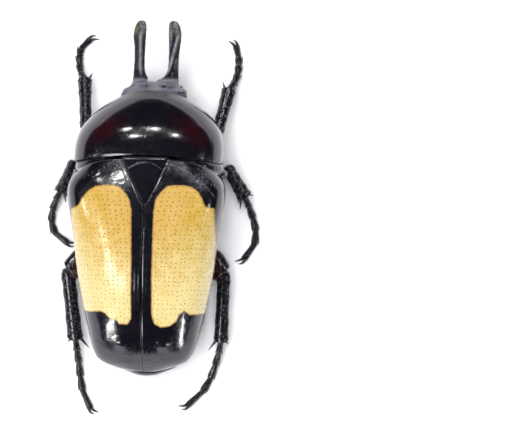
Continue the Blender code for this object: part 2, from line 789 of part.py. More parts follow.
def build():
    clear_scene()
    parts = new_collection("horned flower beetle")
    thorax = chest(parts)
    belly(parts)
    tail_plate(parts)
    pronotum = neck_shield(parts)
    scutellum(parts)
    head(parts)
    for tag, side in (("l", -1), ("r", 1)):
        wing_case("elytron_" + tag, side, parts)
        eye("eye_" + tag, side, parts)
        horn("horn_" + tag, side, parts)
        antenna("antenna_" + tag, side, parts)
    for leg, pose in LEGS.items():
        femur(leg, pose, parts)
        tibia(leg, pose, parts)
        tarsus(leg, pose, parts)
    for leg, pose in LEGS.items():
        carrier = pronotum if leg.startswith("fore") else thorax
        make_room(carrier, leg, pose, parts)
    stand_on_origin(parts)


build()
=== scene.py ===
"""Shell plates, legs, horns, bristles and finishes of a male two-horned flower beetle.

The shapes are worked out in millimetres in the beetle's own frame, with its head along +Y and its
middle line on X = 0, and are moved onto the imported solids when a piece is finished.
"""

import math
import random
from collections import namedtuple

import bmesh
import bpy
from mathutils import Matrix, Vector, noise


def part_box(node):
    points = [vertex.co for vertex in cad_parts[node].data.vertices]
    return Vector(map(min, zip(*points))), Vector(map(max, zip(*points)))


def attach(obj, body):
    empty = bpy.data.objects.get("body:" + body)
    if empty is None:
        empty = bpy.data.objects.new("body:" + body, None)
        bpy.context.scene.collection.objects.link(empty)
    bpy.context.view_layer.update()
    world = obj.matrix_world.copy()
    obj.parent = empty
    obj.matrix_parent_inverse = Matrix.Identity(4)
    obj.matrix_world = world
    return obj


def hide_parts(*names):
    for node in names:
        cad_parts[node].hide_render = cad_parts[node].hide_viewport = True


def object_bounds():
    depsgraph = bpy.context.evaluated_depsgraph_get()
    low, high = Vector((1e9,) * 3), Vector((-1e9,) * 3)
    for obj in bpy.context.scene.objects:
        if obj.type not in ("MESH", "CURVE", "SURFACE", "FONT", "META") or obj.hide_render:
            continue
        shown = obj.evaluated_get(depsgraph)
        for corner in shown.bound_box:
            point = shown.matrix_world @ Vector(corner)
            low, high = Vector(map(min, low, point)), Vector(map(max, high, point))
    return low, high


bl_info = {
    "name": "Horned flower beetle",
    "version": (1, 0, 0),
    "blender": (4, 5, 0),
    "location": "View3D > Sidebar > Beetle",
    "description": "Shell plates, legs, horns and bristles of a horned flower beetle",
    "category": "Object",
}

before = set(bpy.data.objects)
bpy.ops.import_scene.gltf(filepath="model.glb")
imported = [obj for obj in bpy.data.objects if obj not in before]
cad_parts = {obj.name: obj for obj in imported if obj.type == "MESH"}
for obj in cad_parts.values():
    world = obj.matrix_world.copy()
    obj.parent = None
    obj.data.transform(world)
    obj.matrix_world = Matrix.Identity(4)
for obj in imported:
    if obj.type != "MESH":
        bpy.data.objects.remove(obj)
CAD_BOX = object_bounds()

MM = 0.001
UP = Vector((0, 0, 1))
# Corners of a form that lie nearer than this become one
WELD = 0.0004
SIDES = (("l", -1), ("r", 1))
TAIL_END = -13.05


def middle_of_body():
    """Where the beetle's own zero point lies in the row frame, in metres."""
    low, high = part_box("scutellum")
    return Vector(((low.x + high.x) / 2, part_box("pygidium")[0].y - TAIL_END * MM, 0))


ORIGIN = middle_of_body()

# Roundness of the arched plates and of the underside
ARCH = 2.35
BELLY_ARCH = 2.2
# Wing cases are squarer at the shoulders: roundness and station at the rear and at the shoulders
CASE_ARCH = (2.35, 3.1)
CASE_ARCH_FADE = (-4.0, 2.5)
# Front edge of the wing cases: how far it is bowed and cut back, and how soon that fades
SHOULDER_BOW = 0.5
SHOULDER_CUT = 0.6
SHOULDER_FADE = 6.0

# Wing cases, front to back: station, half width, height of the side edge, height of the crown,
# and how far the side edge is turned down
CASE_ROWS = (
    (4.47, 5.55, 5.00, 7.70, 0.70),
    (3.00, 6.05, 5.30, 7.95, 1.10),
    (1.20, 6.10, 5.40, 8.12, 1.20),
    (-1.50, 5.78, 5.25, 8.19, 1.10),
    (-4.50, 5.50, 4.95, 8.00, 0.85),
    (-7.00, 5.05, 4.60, 7.40, 0.60),
    (-9.00, 4.50, 4.25, 6.60, 0.40),
    (-10.60, 3.85, 3.95, 5.70, 0.30),
    (-11.65, 3.12, 3.75, 4.82, 0.30),
    (-12.25, 2.15, 3.60, 4.20, 0.30),
    (-12.55, 0.95, 3.50, 3.82, 0.30),
)
# How much wider than that each wing case is, row by row, on the left and on the right
CASE_EXTRA = {
    -1: (0.10, 0.18, 0.18, 0.05, -0.06, -0.06, 0.02, 0.30, 0.45, 0.15, 0.05),
    1: (0.00, 0.00, 0.00, -0.12, -0.13, -0.12, 0.00, 0.20, 0.24, -0.15, -0.05),
}
# Wing cases and hind body lean a little to the left behind these stations
CASE_LEAN = 0.0155
CASE_LEAN_START = 0.9
TAIL_LEAN = 0.018
TAIL_LEAN_START = -4.3

# Shares of a wing case's sheet: its base is tucked under up to the first, and its side edge is
# turned down from the second
CASE_TUCKED = 0.03
CASE_TURNED = 0.93
# Low bumps on the left and the right wing case: heights, place across, station and two reaches
CASE_HUMPS = (
    ((0.15, 0.15), 1.65, -10.2, 0.50, 0.50),
    ((0.10, 0.16), 4.3, 2.9, 0.70, 0.75),
)
# Grooves beside the seam: distance from it, half width
CASE_GROOVES = ((0.30, 0.06), (0.60, 0.07))

# Outline of the yellow field on each wing case, as distance from the seam and station
FIELD = {
    -1: (
        (0.93, 0.40), (1.09, 1.18), (1.34, 1.68), (1.83, 2.20), (2.40, 2.40), (3.10, 2.40),
        (3.89, 2.27), (4.43, 1.94), (4.89, 1.40), (5.28, 0.75), (5.95, 0.45), (6.05, -2.0),
        (5.90, -5.0), (5.60, -7.70), (4.20, -7.72), (3.46, -7.62), (3.05, -7.75), (2.62, -8.20),
        (2.12, -8.28), (1.93, -8.60), (1.20, -8.60), (0.90, -8.10), (0.85, -3.50),
    ),
    1: (
        (0.76, 0.40), (0.90, 1.30), (1.27, 1.86), (1.74, 2.38), (2.36, 2.48), (3.20, 2.49),
        (3.73, 2.35), (4.19, 2.05), (4.55, 1.51), (4.80, 0.85), (5.50, 0.72), (5.60, -2.0),
        (5.42, -4.8), (5.00, -7.72), (4.30, -7.78), (3.62, -7.76), (3.22, -7.45), (2.88, -7.75),
        (2.62, -8.30), (2.10, -8.68), (1.35, -8.80), (0.85, -8.50), (0.66, -7.80), (0.70, -3.50),
    ),
}
# Brown of the yellow field's rim
FIELD_RIM = (0.24, 0.10, 0.015)

# Trunk: station, upper half width, lower half width, ledge, crown, belly
CHEST_ROWS = (
    (4.35, 4.55, 5.30, 3.75, 6.60, 1.80),
    (3.95, 4.75, 5.60, 3.75, 6.75, 1.55),
    (3.10, 5.05, 5.85, 3.80, 7.05, 1.10),
    (1.20, 5.15, 5.80, 3.80, 7.25, 0.85),
    (-1.50, 4.85, 5.50, 3.75, 7.35, 0.80),
    (-4.25, 4.58, 5.22, 3.70, 7.12, 0.88),
)
BELLY_ROWS = (
    (-4.10, 4.50, 5.10, 3.70, 7.10, 0.95),
    (-7.00, 4.10, 4.75, 3.60, 6.50, 0.95),
    (-9.00, 3.50, 4.20, 3.45, 5.55, 1.10),
    (-10.50, 2.80, 3.60, 3.25, 4.60, 1.35),
    (-11.60, 2.00, 2.90, 3.08, 3.85, 1.62),
)
BELLY_SEGMENTS = 5
# Shares of the breast's and the hind body's sheets over which either end is drawn in, and the
# heights to which they are drawn
CHEST_END = (0.04, 3.9)
BELLY_END = (0.03, 3.5)
# Share of the way round the trunk and the neck shield that their upper arch takes
TRUNK_TOP = 0.4
SHIELD_TOP = 0.6

# Bosses on the trunk: centre (given for the right) and radii
KEEL = ((0, 2.7, 1.35), (0.75, 1.5, 0.75))
FORE_COXA = ((1.25, 7.35, 1.75), (1.05, 0.85, 0.75))
MID_COXA = ((1.45, 2.05, 1.25), (1.15, 0.75, 0.72))
HIND_COXA = ((2.5, -3.0, 1.4), (2.3, 0.7, 0.75))
SHOULDER = ((5.72, 3.5, 3.4), (0.5, 0.44, 0.8))
# Plate between shield and wing case: place, half width and half depth
SIDE_PLATE = (
    (2.30, 4.42, 7.12, 0.30, 0.20),
    (3.40, 4.26, 6.90, 0.38, 0.28),
    (4.40, 4.08, 6.48, 0.46, 0.36),
    (5.15, 3.90, 5.72, 0.50, 0.42),
    (5.52, 3.80, 4.80, 0.50, 0.42),
    (5.55, 3.75, 3.90, 0.46, 0.40),
)

# Last plate: station, half width, low edge, high edge
TAIL_ROWS = (
    (-11.20, 3.05, 1.50, 3.15),
    (-11.66, 3.00, 1.45, 3.10),
    (-12.28, 2.42, 1.30, 3.05),
    (-12.75, 1.42, 1.35, 2.95),
    (-13.05, 0.60, 1.65, 2.60),
)

# Neck shield: station, half width, height of the side edge, crown, underside
SHIELD_ROWS = (
    (4.25, 5.97, 4.50, 7.80, 1.95),
    (5.60, 5.95, 4.45, 7.82, 1.90),
    (6.60, 5.72, 4.35, 7.66, 1.90),
    (7.40, 5.28, 4.25, 7.34, 1.90),
    (8.20, 4.62, 4.15, 6.88, 1.90),
    (8.85, 3.85, 4.05, 6.35, 1.95),
    (9.38, 3.05, 3.95, 5.72, 2.00),
)
# Shares of the shield's sheet at which its rear and its front are folded in
SHIELD_FOLDS = (0.06, 0.86)
# Wine-red areas of the shield: place, station and strength; their turn and two reaches
WINE_SPOTS = ((-3.35, 6.80, 1.0), (3.60, 6.80, 0.9))
WINE_TURN = math.radians(38)
WINE_REACH = (1.55, 0.80)
# How far its front and rear edges are bowed forward in the middle
SHIELD_FRONT_BOW = 0.58
SHIELD_HIND_BOW = 0.50
# Head and shield lean to the right, counted from a station
LEAN = math.tan(math.radians(3.0))
LEAN_START = 6.5
NECK_HEIGHT = 3.55

SCUTELLUM_BASE = 4.45
SCUTELLUM_TIP = 0.86
SCUTELLUM_HALF = 1.70
SCUTELLUM_THICKNESS = 0.5
SCUTELLUM_TOP = 8.08
SCUTELLUM_TUCKED = 0.08

# Head: station, half width, middle height, rise above it, drop below it
HEAD_ROWS = (
    (8.75, 1.50, 3.55, 0.75, 0.85),
    (9.45, 2.05, 3.58, 1.12, 1.05),
    (9.95, 2.16, 3.60, 1.30, 1.10),
    (10.45, 2.02, 3.62, 0.80, 1.00),
    (10.93, 1.80, 3.62, 0.30, 0.72),
)
# Dimples and swellings of the head: height, place across, station and two reaches
HEAD_HUMPS = ((-0.24, 0.72, 10.45, 0.26, 0.15), (0.10, 1.20, 10.80, 0.50, 0.22))
# Painted shade: dark spots in the head's painted reflection: place across, station and two reaches
SHADED_SPOTS = ((-0.62, 10.48, 0.24, 0.13), (0.80, 10.42, 0.32, 0.16),
              (1.30, 10.33, 0.30, 0.07), (2.25, 9.95, 0.34, 0.12))
EYE = ((2.03, 9.95, 3.62), (0.56, 0.42, 0.62))
EYE_SWELL = 0.03
# Rim across each eye: place and half width
CANTHUS = (
    (1.16, 10.72, 3.92, 0.16),
    (1.60, 10.36, 4.14, 0.27),
    (1.96, 10.05, 4.22, 0.30),
    (2.32, 9.78, 4.12, 0.28),
    (2.64, 9.58, 3.92, 0.16),
)
CANTHUS_DEPTH = 0.12
MOUTH = ((0, 10.15, 2.6), (1.15, 0.55, 0.42))
PALP = ((0.75, 10.1, 2.3, 0.17), (0.95, 10.5, 2.15, 0.19), (0.8, 10.75, 2.1, 0.12))
STALK = ((1.80, 10.20, 2.75), (1.98, 10.52, 2.25), (1.75, 10.52, 2.0), (1.35, 10.42, 1.88))
# A joint of a feeler's stalk: shares along it and half widths
STALK_ROWS = ((0.0, 0.12), (0.6, 0.17), (1.0, 0.13))
CLUB_ROOT = (1.40, 10.42, 1.88)
CLUB_TIP = (0.42, 10.62, 1.72)
LEAF_SPREAD = (0.08, -0.28, 0.0)
# A leaf of a feeler's club, root to tip: share, half width and half depth
LEAF_ROWS = ((0.0, 0.10, 0.14), (0.3, 0.13, 0.28), (0.75, 0.14, 0.30), (1.0, 0.10, 0.20))

# Horn: station, centre line's distance from the middle, half width, half thickness
HORN_ROWS = (
    (10.45, 1.12, 0.74, 0.40),
    (10.90, 1.13, 0.73, 0.42),
    (11.15, 1.21, 0.63, 0.39),
    (11.45, 1.31, 0.51, 0.35),
    (11.90, 1.37, 0.44, 0.32),
    (12.60, 1.38, 0.41, 0.29),
    (13.60, 1.40, 0.44, 0.27),
    (14.40, 1.42, 0.51, 0.26),
    (15.00, 1.38, 0.48, 0.24),
    (15.40, 1.31, 0.37, 0.20),
    (15.62, 1.26, 0.24, 0.14),
)
# Line of a horn's ridge: place across it at its foot, from -1 inside to 1 outside, and slant
HORN_RIDGE = {-1: (-0.25, 0.10), 1: (-0.95, 2.0)}
# How much further the inner side of a horn's foot spreads
HORN_FLARE = {-1: -0.30, 1: 0.42}
HORN_FLARE_REACH = 0.26
HORN_FOOT = 11.0
HORN_LOW = 3.58
HORN_RISE = 1.5

# Share of a foot's length that each of its segments takes
TARSUS_SHARES = {
    "fore": (0.13, 0.19, 0.19, 0.18, 0.31),
    "mid": (0.12, 0.17, 0.20, 0.20, 0.31),
    "hind": (0.12, 0.17, 0.20, 0.20, 0.31),
}
# Foot segments: the half width of each, their neck, and shares along one with the width there,
# first of the neck's and then of the segment's own
TARSUS_HALF = (0.29, 0.33, 0.34, 0.34, 0.29)
TARSUS_NECK = 0.23
NECK_ROWS = ((-0.06, 1.0), (0.12, 1.05))
SEGMENT_ROWS = ((0.45, 0.88), (0.82, 1.0), (0.98, 0.86))
TARSUS_DEPTH = 0.28
# Heights of a foot's joints, and how its first joint stands off the ankle
FLOOR_RISE = 0.24
TARSUS_LEVELS = (0.85, 0.5, 0.26, FLOOR_RISE, FLOOR_RISE)
FOOT_DROP = -0.1
FOOT_START = 0.2
# Half width of each shin at the knee and at the ankle
TIBIA_HALF = {
    "fore_l": (0.45, 0.54), "fore_r": (0.45, 0.54), "mid_l": (0.34, 0.50),
    "mid_r": (0.48, 0.58), "hind_l": (0.54, 0.60), "hind_r": (0.50, 0.55),
}
# Shin, knee to ankle: shares along it and the part of its width there
SHIN_ROWS = (
    (-0.07, 0.55), (0.02, 1.0), (0.12, 0.98), (0.25, 0.95),
    (0.5, 0.95), (0.75, 0.96), (0.93, 1.0), (1.01, 0.82),
)
SHIN_DEPTH = 0.36
# Teeth and spurs of a shin: share along it, side (1 outside), length and slant towards the foot
TIBIA_SPINES = {
    "fore": ((0.97, 1, 0.14, 1.4), (0.70, 1, 0.10, 0.8), (0.95, -1, 0.50, 1.7)),
    "mid": ((0.97, 1, 0.24, 0.9), (0.60, 1, 0.14, 0.8), (0.33, 1, 0.10, 0.8),
            (0.96, -1, 0.75, 1.6), (0.88, -1, 0.45, 1.2)),
    "hind": ((0.97, 1, 0.22, 1.0), (0.66, 1, 0.14, 0.8), (0.35, 1, 0.10, 0.8),
             (0.96, -1, 1.00, 1.4), (0.92, -1, 0.60, 1.9), (0.55, -1, 0.12, 0.8)),
}
# Half width of a thigh at the hip, in the middle and at the knee
FEMUR_HALF = {"fore": (0.48, 0.78, 0.60), "mid": (0.48, 0.80, 0.58), "hind": (0.52, 1.08, 0.84)}
FEMUR_DEPTH = 0.52
# How far a thigh reaches in past its hip, and how far it stops short of its knee
HIP_REACH = 0.35
KNEE_ROOM = 0.42
# How many hairs stand on a shin, on a foot segment and along the hind body. Hairs are drawn for
# both of its sides, and those of one side are made.
SHIN_HAIRS = 44
FOOT_HAIRS = 8
BELLY_HAIRS = 90
HAIRY_SIDE = 1
# Joints of each leg, the length of its foot, and the bearings of the foot's segments in degrees
Leg = namedtuple("Leg", "hip bend knee ankle tarsus headings")
LEGS = {
    "fore_l": Leg((-1.75, 7.50, 1.45), (-3.70, 7.60, 1.60), (-5.57, 7.11, 2.20),
                  (-5.87, 11.22, 1.40), 3.80, (146, 105, 95, 80, 45)),
    "fore_r": Leg((1.85, 7.45, 1.45), (3.70, 7.35, 1.60), (5.24, 6.94, 2.20),
                  (6.07, 10.54, 1.40), 3.78, (48, 72, 84, 91, 104)),
    "mid_l": Leg((-1.75, 2.10, 1.20), (-4.30, 3.20, 1.50), (-6.59, 4.24, 2.35),
                 (-7.69, 1.88, 1.35), 5.04, (-125, -112, -99, -74, -37)),
    "mid_r": Leg((1.75, 2.10, 1.20), (4.10, 3.05, 1.50), (6.16, 4.03, 2.35),
                 (7.53, 1.72, 1.35), 5.50, (-69, -70, -76, -93, -124)),
    "hind_l": Leg((-1.90, -3.35, 1.25), (-5.35, -3.60, 1.55), (-6.82, -4.75, 1.95),
                  (-6.20, -10.31, 1.25), 5.90, (-85, -84, -84, -81, -65)),
    "hind_r": Leg((1.90, -3.35, 1.25), (4.75, -3.50, 1.55), (6.00, -4.70, 1.95),
                  (5.82, -10.21, 1.25), 6.20, (-103, -105, -109, -119, -136)),
}


def length(name, description, default):
    """A size in metres, given here in millimetres."""
    return bpy.props.FloatProperty(
        name=name, description=description, default=default * MM, min=0.0, unit="LENGTH",
        precision=6)


def colour(name, description, default):
    return bpy.props.FloatVectorProperty(
        name=name, description=description, default=default, size=3, min=0.0, max=1.0,
        subtype="COLOR")


class BeetleSizes(bpy.types.PropertyGroup):
    seam: length("Seam", "Width of the seam between the wing cases", 0.03)
    case_wall: length("Wall", "Thickness of a wing case", 0.40)
    groove: length("Groove", "Depth of the grooves beside the seam", 0.010)
    row_pitch: length("Pit rows", "Distance between the rows of pits on a wing case", 0.32)
    claw_length: length("Claw", "Length of a claw from its root", 0.60)
    claw_half: length("Claw half width", "Half the thickness of a claw at its root", 0.12)
    hair_length: length("Hair", "Length of the hairs along the legs", 0.30)
    hair_half: length("Hair half width", "Half the thickness of a hair at its root", 0.018)
    facet: length("Facet", "Width of one facet of an eye", 0.06)


class BeetleColours(bpy.types.PropertyGroup):
    black: colour("Black", "Polished black of the plates", (0.003, 0.0032, 0.006))
    wine: colour("Wine red", "Deep red at the shield's sides and on the thighs",
                 (0.024, 0.002, 0.004))
    gold: colour("Gold", "Yellow field towards the seam and the base", (0.50, 0.300, 0.030))
    straw: colour("Straw", "Yellow field towards the sides and the tip", (0.70, 0.575, 0.255))
    pit: colour("Pit", "Brown of the small pits on the yellow", (0.10, 0.035, 0.006))
    horn: colour("Horn", "Dull silvery grey of the horns", (0.20, 0.215, 0.235))
    # The head's violet grey is a painted reflection of the bright studio in its black cuticle
    bloom: colour("Bloom", "Violet grey bloom on the head", (0.150, 0.138, 0.178))
    # Painted glints: pale grains that stand for highlights in the fine pits along the plates' edges
    line: colour("Line", "Pale glints in the fine pits along the plates' edges",
                 (0.16, 0.16, 0.20))
    eye: colour("Eye", "Dark grey of the eyes", (0.030, 0.031, 0.028))
    hair: colour("Hair", "Brown black of the hairs", (0.035, 0.025, 0.02))
    floor: colour("Floor", "Pale floor", (0.92, 0.915, 0.94))


def clamp(value, low=0.0, high=1.0):
    return max(low, min(high, value))


def smooth(value, low, high):
    """0 below low, 1 above high, and an even rise between them."""
    t = clamp((value - low) / (high - low))
    return t * t * (3 - 2 * t)


def hump(x, y, centre_x, centre_y, wide, long):
    """1 at a spot, fading around it."""
    return math.exp(-((x - centre_x) / wide) ** 2 - ((y - centre_y) / long) ** 2)


def spline(rows, at):
    """A smooth curve through rows of numbers, read at a fractional row."""
    last = len(rows) - 1
    i = min(int(at), last - 1)
    t = at - i
    a, b, c, d = (rows[max(0, min(last, k))] for k in (i - 1, i, i + 1, i + 2))
    return tuple(
        0.5 * (2 * q + (r - p) * t + (2 * p - 5 * q + 4 * r - s) * t ** 2
               + (3 * q - p - 3 * r + s) * t ** 3)
        for p, q, r, s in zip(a, b, c, d)
    )


def arch(half, rise, angle, roundness):
    """A point of a flattened arch: across, and up from its springing."""
    return (
        half * max(0.0, math.sin(angle)) ** (2 / roundness),
        rise * max(0.0, math.cos(angle)) ** (2 / roundness),
    )


def leaned(point):
    """Head and shield lean a little to the right, more so towards the front."""
    x, y, z = point
    return Vector((x + (y - LEAN_START) * LEAN, y, z))


def swung(point, start, lean):
    """Behind a station the body bends a little to the left."""
    x, y, z = point
    return Vector((x + min(0.0, y - start) * lean, y, z))


def mirrored(point, side):
    return (side * point[0], point[1], point[2])


def unleaned_x(co):
    """Distance from the middle line of head and shield."""
    return co.x - (co.y - LEAN_START) * LEAN


def bell(value, wide):
    """1 at zero, fading to either side."""
    return math.exp(-(value / wide) ** 2)


def level_across(along):
    return along.cross(UP).normalized()


def pair_of(leg):
    return leg.split("_")[0]


def oval(angle, power):
    """Unit outline between a circle (power 2) and a box."""
    c, s = math.cos(angle), math.sin(angle)
    return (math.copysign(abs(c) ** (2 / power), c), math.copysign(abs(s) ** (2 / power), s))


def drawn_in(v, fold):
    """Share along a sheet between its two drawn-in ends, and how far it is drawn in."""
    share = clamp((v - fold) / (1 - 2 * fold))
    return share, clamp(1 - v / fold) + clamp((v - 1 + fold) / fold)


def round_end(share, near, far):
    """How far a limb's width has grown from a round tip at either end."""
    grown = 1.0
    if near > 0:
        grown *= math.sqrt(1 - (1 - clamp(share / near)) ** 2)
    if far > 0:
        grown *= math.sqrt(1 - (1 - clamp((1 - share) / far)) ** 2)
    return grown


def new_form():
    """An empty mesh with a map for patterns that follow the surface."""
    bm = bmesh.new()
    bm.loops.layers.uv.new("Chart")
    return bm


def lay(bm, at, across, along):
    """A grid laid on a surface: each corner goes where at says for its two shares."""
    made = bmesh.ops.create_grid(
        bm, x_segments=across, y_segments=along, size=0.5, calc_uvs=True)["verts"]
    for vert in made:
        vert.co = at(clamp(vert.co.x + 0.5), clamp(vert.co.y + 0.5))
    bmesh.ops.remove_doubles(bm, verts=made, dist=WELD)


def limb(bm, rows, sides=16, rings=20, near=0.06, far=0.06, section=None):
    """A closed limb through rows of x, y, z, half width and half depth, with round ends."""
    last = len(rows) - 1

    def at(u, v):
        share = (1 - math.cos(math.pi * v)) / 2
        x, y, z, half, depth = spline(rows, share * last)
        ahead = Vector(spline(rows, min(1.0, share + 0.02) * last)[:3])
        behind = Vector(spline(rows, max(0.0, share - 0.02) * last)[:3])
        along = (ahead - behind).normalized()
        across = level_across(along)
        up = across.cross(along)
        angle = 2 * math.pi * u
        if section:
            wide, high = section(angle, share)
        else:
            wide, high = math.cos(angle), math.sin(angle)
        grown = round_end(share, near, far)
        return Vector((x, y, z)) + (across * half * wide + up * depth * high) * grown

    lay(bm, at, sides, rings)


def ball(bm, centre, radii, segments=24, rings=16):
    bmesh.ops.create_uvsphere(
        bm, u_segments=segments, v_segments=rings, radius=1.0, calc_uvs=True,
        matrix=Matrix.Translation(centre) @ Matrix.Diagonal((*radii, 1.0)))


def thorn(bm, root, tip, half, sides=6, blunt=0.1):
    """A straight tapered spine or hair."""
    root, tip = Vector(root), Vector(tip)
    turn = (tip - root).to_track_quat("Z", "Y").to_matrix().to_4x4()
    bmesh.ops.create_cone(
        bm, cap_ends=True, cap_tris=True, segments=sides, radius1=half, radius2=half * blunt,
        depth=(tip - root).length, calc_uvs=True,
        matrix=Matrix.Translation((root + tip) / 2) @ turn)


def mark(bm, name, amount):
    """Keep a number on every corner for a finish to read."""
    layer = bm.verts.layers.float.new(name)
    for vert in bm.verts:
        vert[layer] = amount(vert.co) if callable(amount) else amount


def face_up(bm):
    """Turn an open sheet so that its faces look up."""
    bm.normal_update()
    if sum(face.normal.z * face.calc_area() for face in bm.faces) < 0:
        bmesh.ops.reverse_faces(bm, faces=bm.faces)


def put(name, data, matrix):
    """Put an object into the scene."""
    obj = bpy.data.objects.new(name, data)
    obj.matrix_world = matrix
    bpy.context.scene.collection.objects.link(obj)
    return obj


def as_object(bm, name, material):
    mesh = bpy.data.meshes.new(name)
    bm.to_mesh(mesh)
    bm.free()
    mesh.materials.append(material)
    return put(name, mesh, Matrix())


def finish(name, bm, material, nodes=(), closed=True, sharp=60):
    """Move a form onto the solids, make it an object and hang it on the body."""
    if closed:
        bmesh.ops.recalc_face_normals(bm, faces=bm.faces)
    bmesh.ops.scale(bm, vec=(MM, MM, MM), verts=bm.verts)
    bmesh.ops.translate(bm, vec=ORIGIN, verts=bm.verts)
    obj = as_object(bm, name, material)
    obj.data.shade_smooth()
    obj.data.set_sharp_from_angle(angle=math.radians(sharp))
    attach(obj, "root")
    if nodes:
        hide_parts(*nodes)
    return obj


def thicken(obj, wall, even=False):
    """Give an open sheet a wall below it."""
    shell = obj.modifiers.new("Wall", "SOLIDIFY")
    shell.thickness = wall
    shell.offset = -1
    shell.use_even_offset = even


class Wiring:
    """Short ways to wire the nodes of a material or of the world."""

    def __init__(self, owner):
        owner.use_nodes = True
        self.owner = owner
        self.tree = owner.node_tree

    def feed(self, node, socket, value):
        if isinstance(value, bpy.types.NodeSocket):
            self.tree.links.new(value, node.inputs[socket])
        elif value is not None:
            node.inputs[socket].default_value = value

    def node(self, kind, sockets=(), **settings):
        """A new node with these settings, and these values or links in its sockets."""
        made = self.tree.nodes.new(kind)
        for name, value in settings.items():
            setattr(made, name, value)
        for socket, value in dict(sockets).items():
            self.feed(made, socket, value)
        return made

    def sum(self, operation, *values):
        return self.node("ShaderNodeMath", enumerate(values), operation=operation).outputs[0]

    def place(self, scale=(1, 1, 1)):
        """Object coordinates in millimetres from the beetle's own zero point."""
        return self.node("ShaderNodeMapping", {
            "Vector": self.node("ShaderNodeTexCoord").outputs["Object"],
            "Scale": [part / MM for part in scale],
            "Location": [-part / MM * size for part, size in zip(ORIGIN, scale)],
        }).outputs[0]

    def chart(self, across, along):
        """The surface's own map, scaled to rows across and steps along."""
        source = self.node("ShaderNodeUVMap", uv_map="Chart").outputs[0]
        return self.node("ShaderNodeMapping", {
            "Vector": source, "Scale": (across, along, 1)}).outputs[0]

    def mark(self, name):
        return self.node("ShaderNodeAttribute", attribute_name=name).outputs["Fac"]

    def cloud(self, where, scale, detail=3.0, rough=0.5):
        return self.node("ShaderNodeTexNoise", {
            "Vector": where, "Scale": scale, "Detail": detail, "Roughness": rough,
        }).outputs["Fac"]

    def cells(self, where, scale, random_share=1.0, flat=False):
        return self.node("ShaderNodeTexVoronoi", {
            "Vector": where, "Scale": scale, "Randomness": random_share,
        }, voronoi_dimensions="2D" if flat else "3D")

    def pits(self, where, scale, random_share, low, high, first=0.0, last=1.0, flat=False):
        """Small round pits: first at the middle of each, last between them."""
        cell = self.cells(where, scale, random_share, flat)
        return self.span(cell.outputs["Distance"], low, high, first, last)

    def span(self, value, low, high, first=0.0, last=1.0):
        """Map a range of a value onto another with soft ends."""
        return self.node("ShaderNodeMapRange", {
            "Value": value, "From Min": low, "From Max": high, "To Min": first, "To Max": last,
        }, interpolation_type="SMOOTHSTEP").outputs["Result"]

    def blend(self, share, first, last):
        first, last = (
            value if isinstance(value, bpy.types.NodeSocket) else (*value[:3], 1.0)
            for value in (first, last))
        return self.node("ShaderNodeMix", {0: share, 6: first, 7: last},
                         data_type="RGBA").outputs[2]

    def gloss(self, where, low, high):
        """Roughness that wanders between two values."""
        return self.span(self.cloud(where, 3.0, 4.0, 0.6), 0.3, 0.7, low, high)

    def grain(self, where, depth, below=None):
        """The finest unevenness of a polished plate."""
        return self.relief(self.cloud(where, 14.0, 3.0, 0.6), depth, below)

    def relief(self, height, depth, below=None):
        """Bump from a height of 0 to 1, depth given in millimetres."""
        return self.node("ShaderNodeBump", {
            "Strength": 1.0, "Distance": depth * MM, "Height": height, "Normal": below,
        }).outputs[0]

    def surface(self, colour, roughness, normal, coat=0.0, coat_roughness=0.03, ior=1.56):
        shader = self.tree.nodes["Principled BSDF"]
        for socket, value in {
                "Base Color": colour, "Roughness": roughness, "Normal": normal,
                "Coat Normal": normal, "IOR": ior, "Coat Weight": coat,
                "Coat Roughness": coat_roughness}.items():
            self.feed(shader, socket, value)
        return self.owner


def new_finish(name):
    return Wiring(bpy.data.materials.new(name))


def tinted(colour, *shares):
    return tuple(part * share for part, share in zip(colour, shares))


# Polished and pitted cuticles: width and depth of the pits, and what differs from the usual
CUTICLES = {
    "shield_polish": dict(pit_size=0.16, pit_depth=0.035, gloss=0.10, coat=0.8, base_pits=0.04,
                          waves_depth=0.006, wine_share=0.8),
    "plate_polish": dict(pit_size=0.20, pit_depth=0.05),
    "thigh_polish": dict(pit_size=0.26, pit_depth=0.06, gloss=0.14, base_pits=0.35),
    "pitted_shin": dict(pit_size=0.30, pit_depth=0.15, gloss=0.20, coat=0.5, base_pits=1.0),
    "pitted_foot": dict(pit_size=0.20, pit_depth=0.06, gloss=0.22, coat=0.4, base_pits=0.7),
    "feeler_brown": dict(pit_size=0.10, pit_depth=0.02, gloss=0.3, coat=0.2, base_pits=0.5,
                         base="hair"),
    "claw_black": dict(pit_size=0.3, pit_depth=0.01, gloss=0.18, coat=0.5, base_pits=0.1),
}


def cuticle(c, name, pit_size, pit_depth, gloss=0.16, coat=0.6, base_pits=0.15,
            waves_depth=0.02, wine_share=1.0, base="black"):
    """Polished or pitted black cuticle. Pits deepen where Coarse is marked, red shows at Wine."""
    f = new_finish(name)
    where = f.place()
    black = getattr(c, base)
    tone = f.cloud(where, 0.9, 4.0, 0.6)
    ground = f.blend(f.span(tone, 0.45, 0.75), black, tinted(black, 2.2, 1.5, 1.2))
    depth_of_red = f.sum("MULTIPLY", f.mark("Wine"), f.span(tone, 0.2, 0.6, 0.75, 1.0))
    ground = f.blend(f.sum("MULTIPLY", depth_of_red, wine_share), ground, c.wine)
    bowl = f.pits(where, 1 / pit_size, 0.9, 0.12, 0.42)
    coarse = f.sum("MAXIMUM", f.mark("Coarse"), base_pits)
    height = f.sum("MULTIPLY", f.sum("SUBTRACT", bowl, 1.0), coarse)
    waves = f.relief(f.cloud(where, 1.6, 2.0), waves_depth)
    fine = f.grain(where, 0.0012, waves)
    normal = f.relief(height, pit_depth, fine)
    rough = f.gloss(where, gloss, gloss + 0.12)
    dull = f.sum("MULTIPLY", coarse, f.sum("SUBTRACT", 1.0, bowl))
    rough = f.sum("ADD", rough, f.sum("MULTIPLY", dull, 0.18))
    return f.surface(ground, rough, normal, coat)


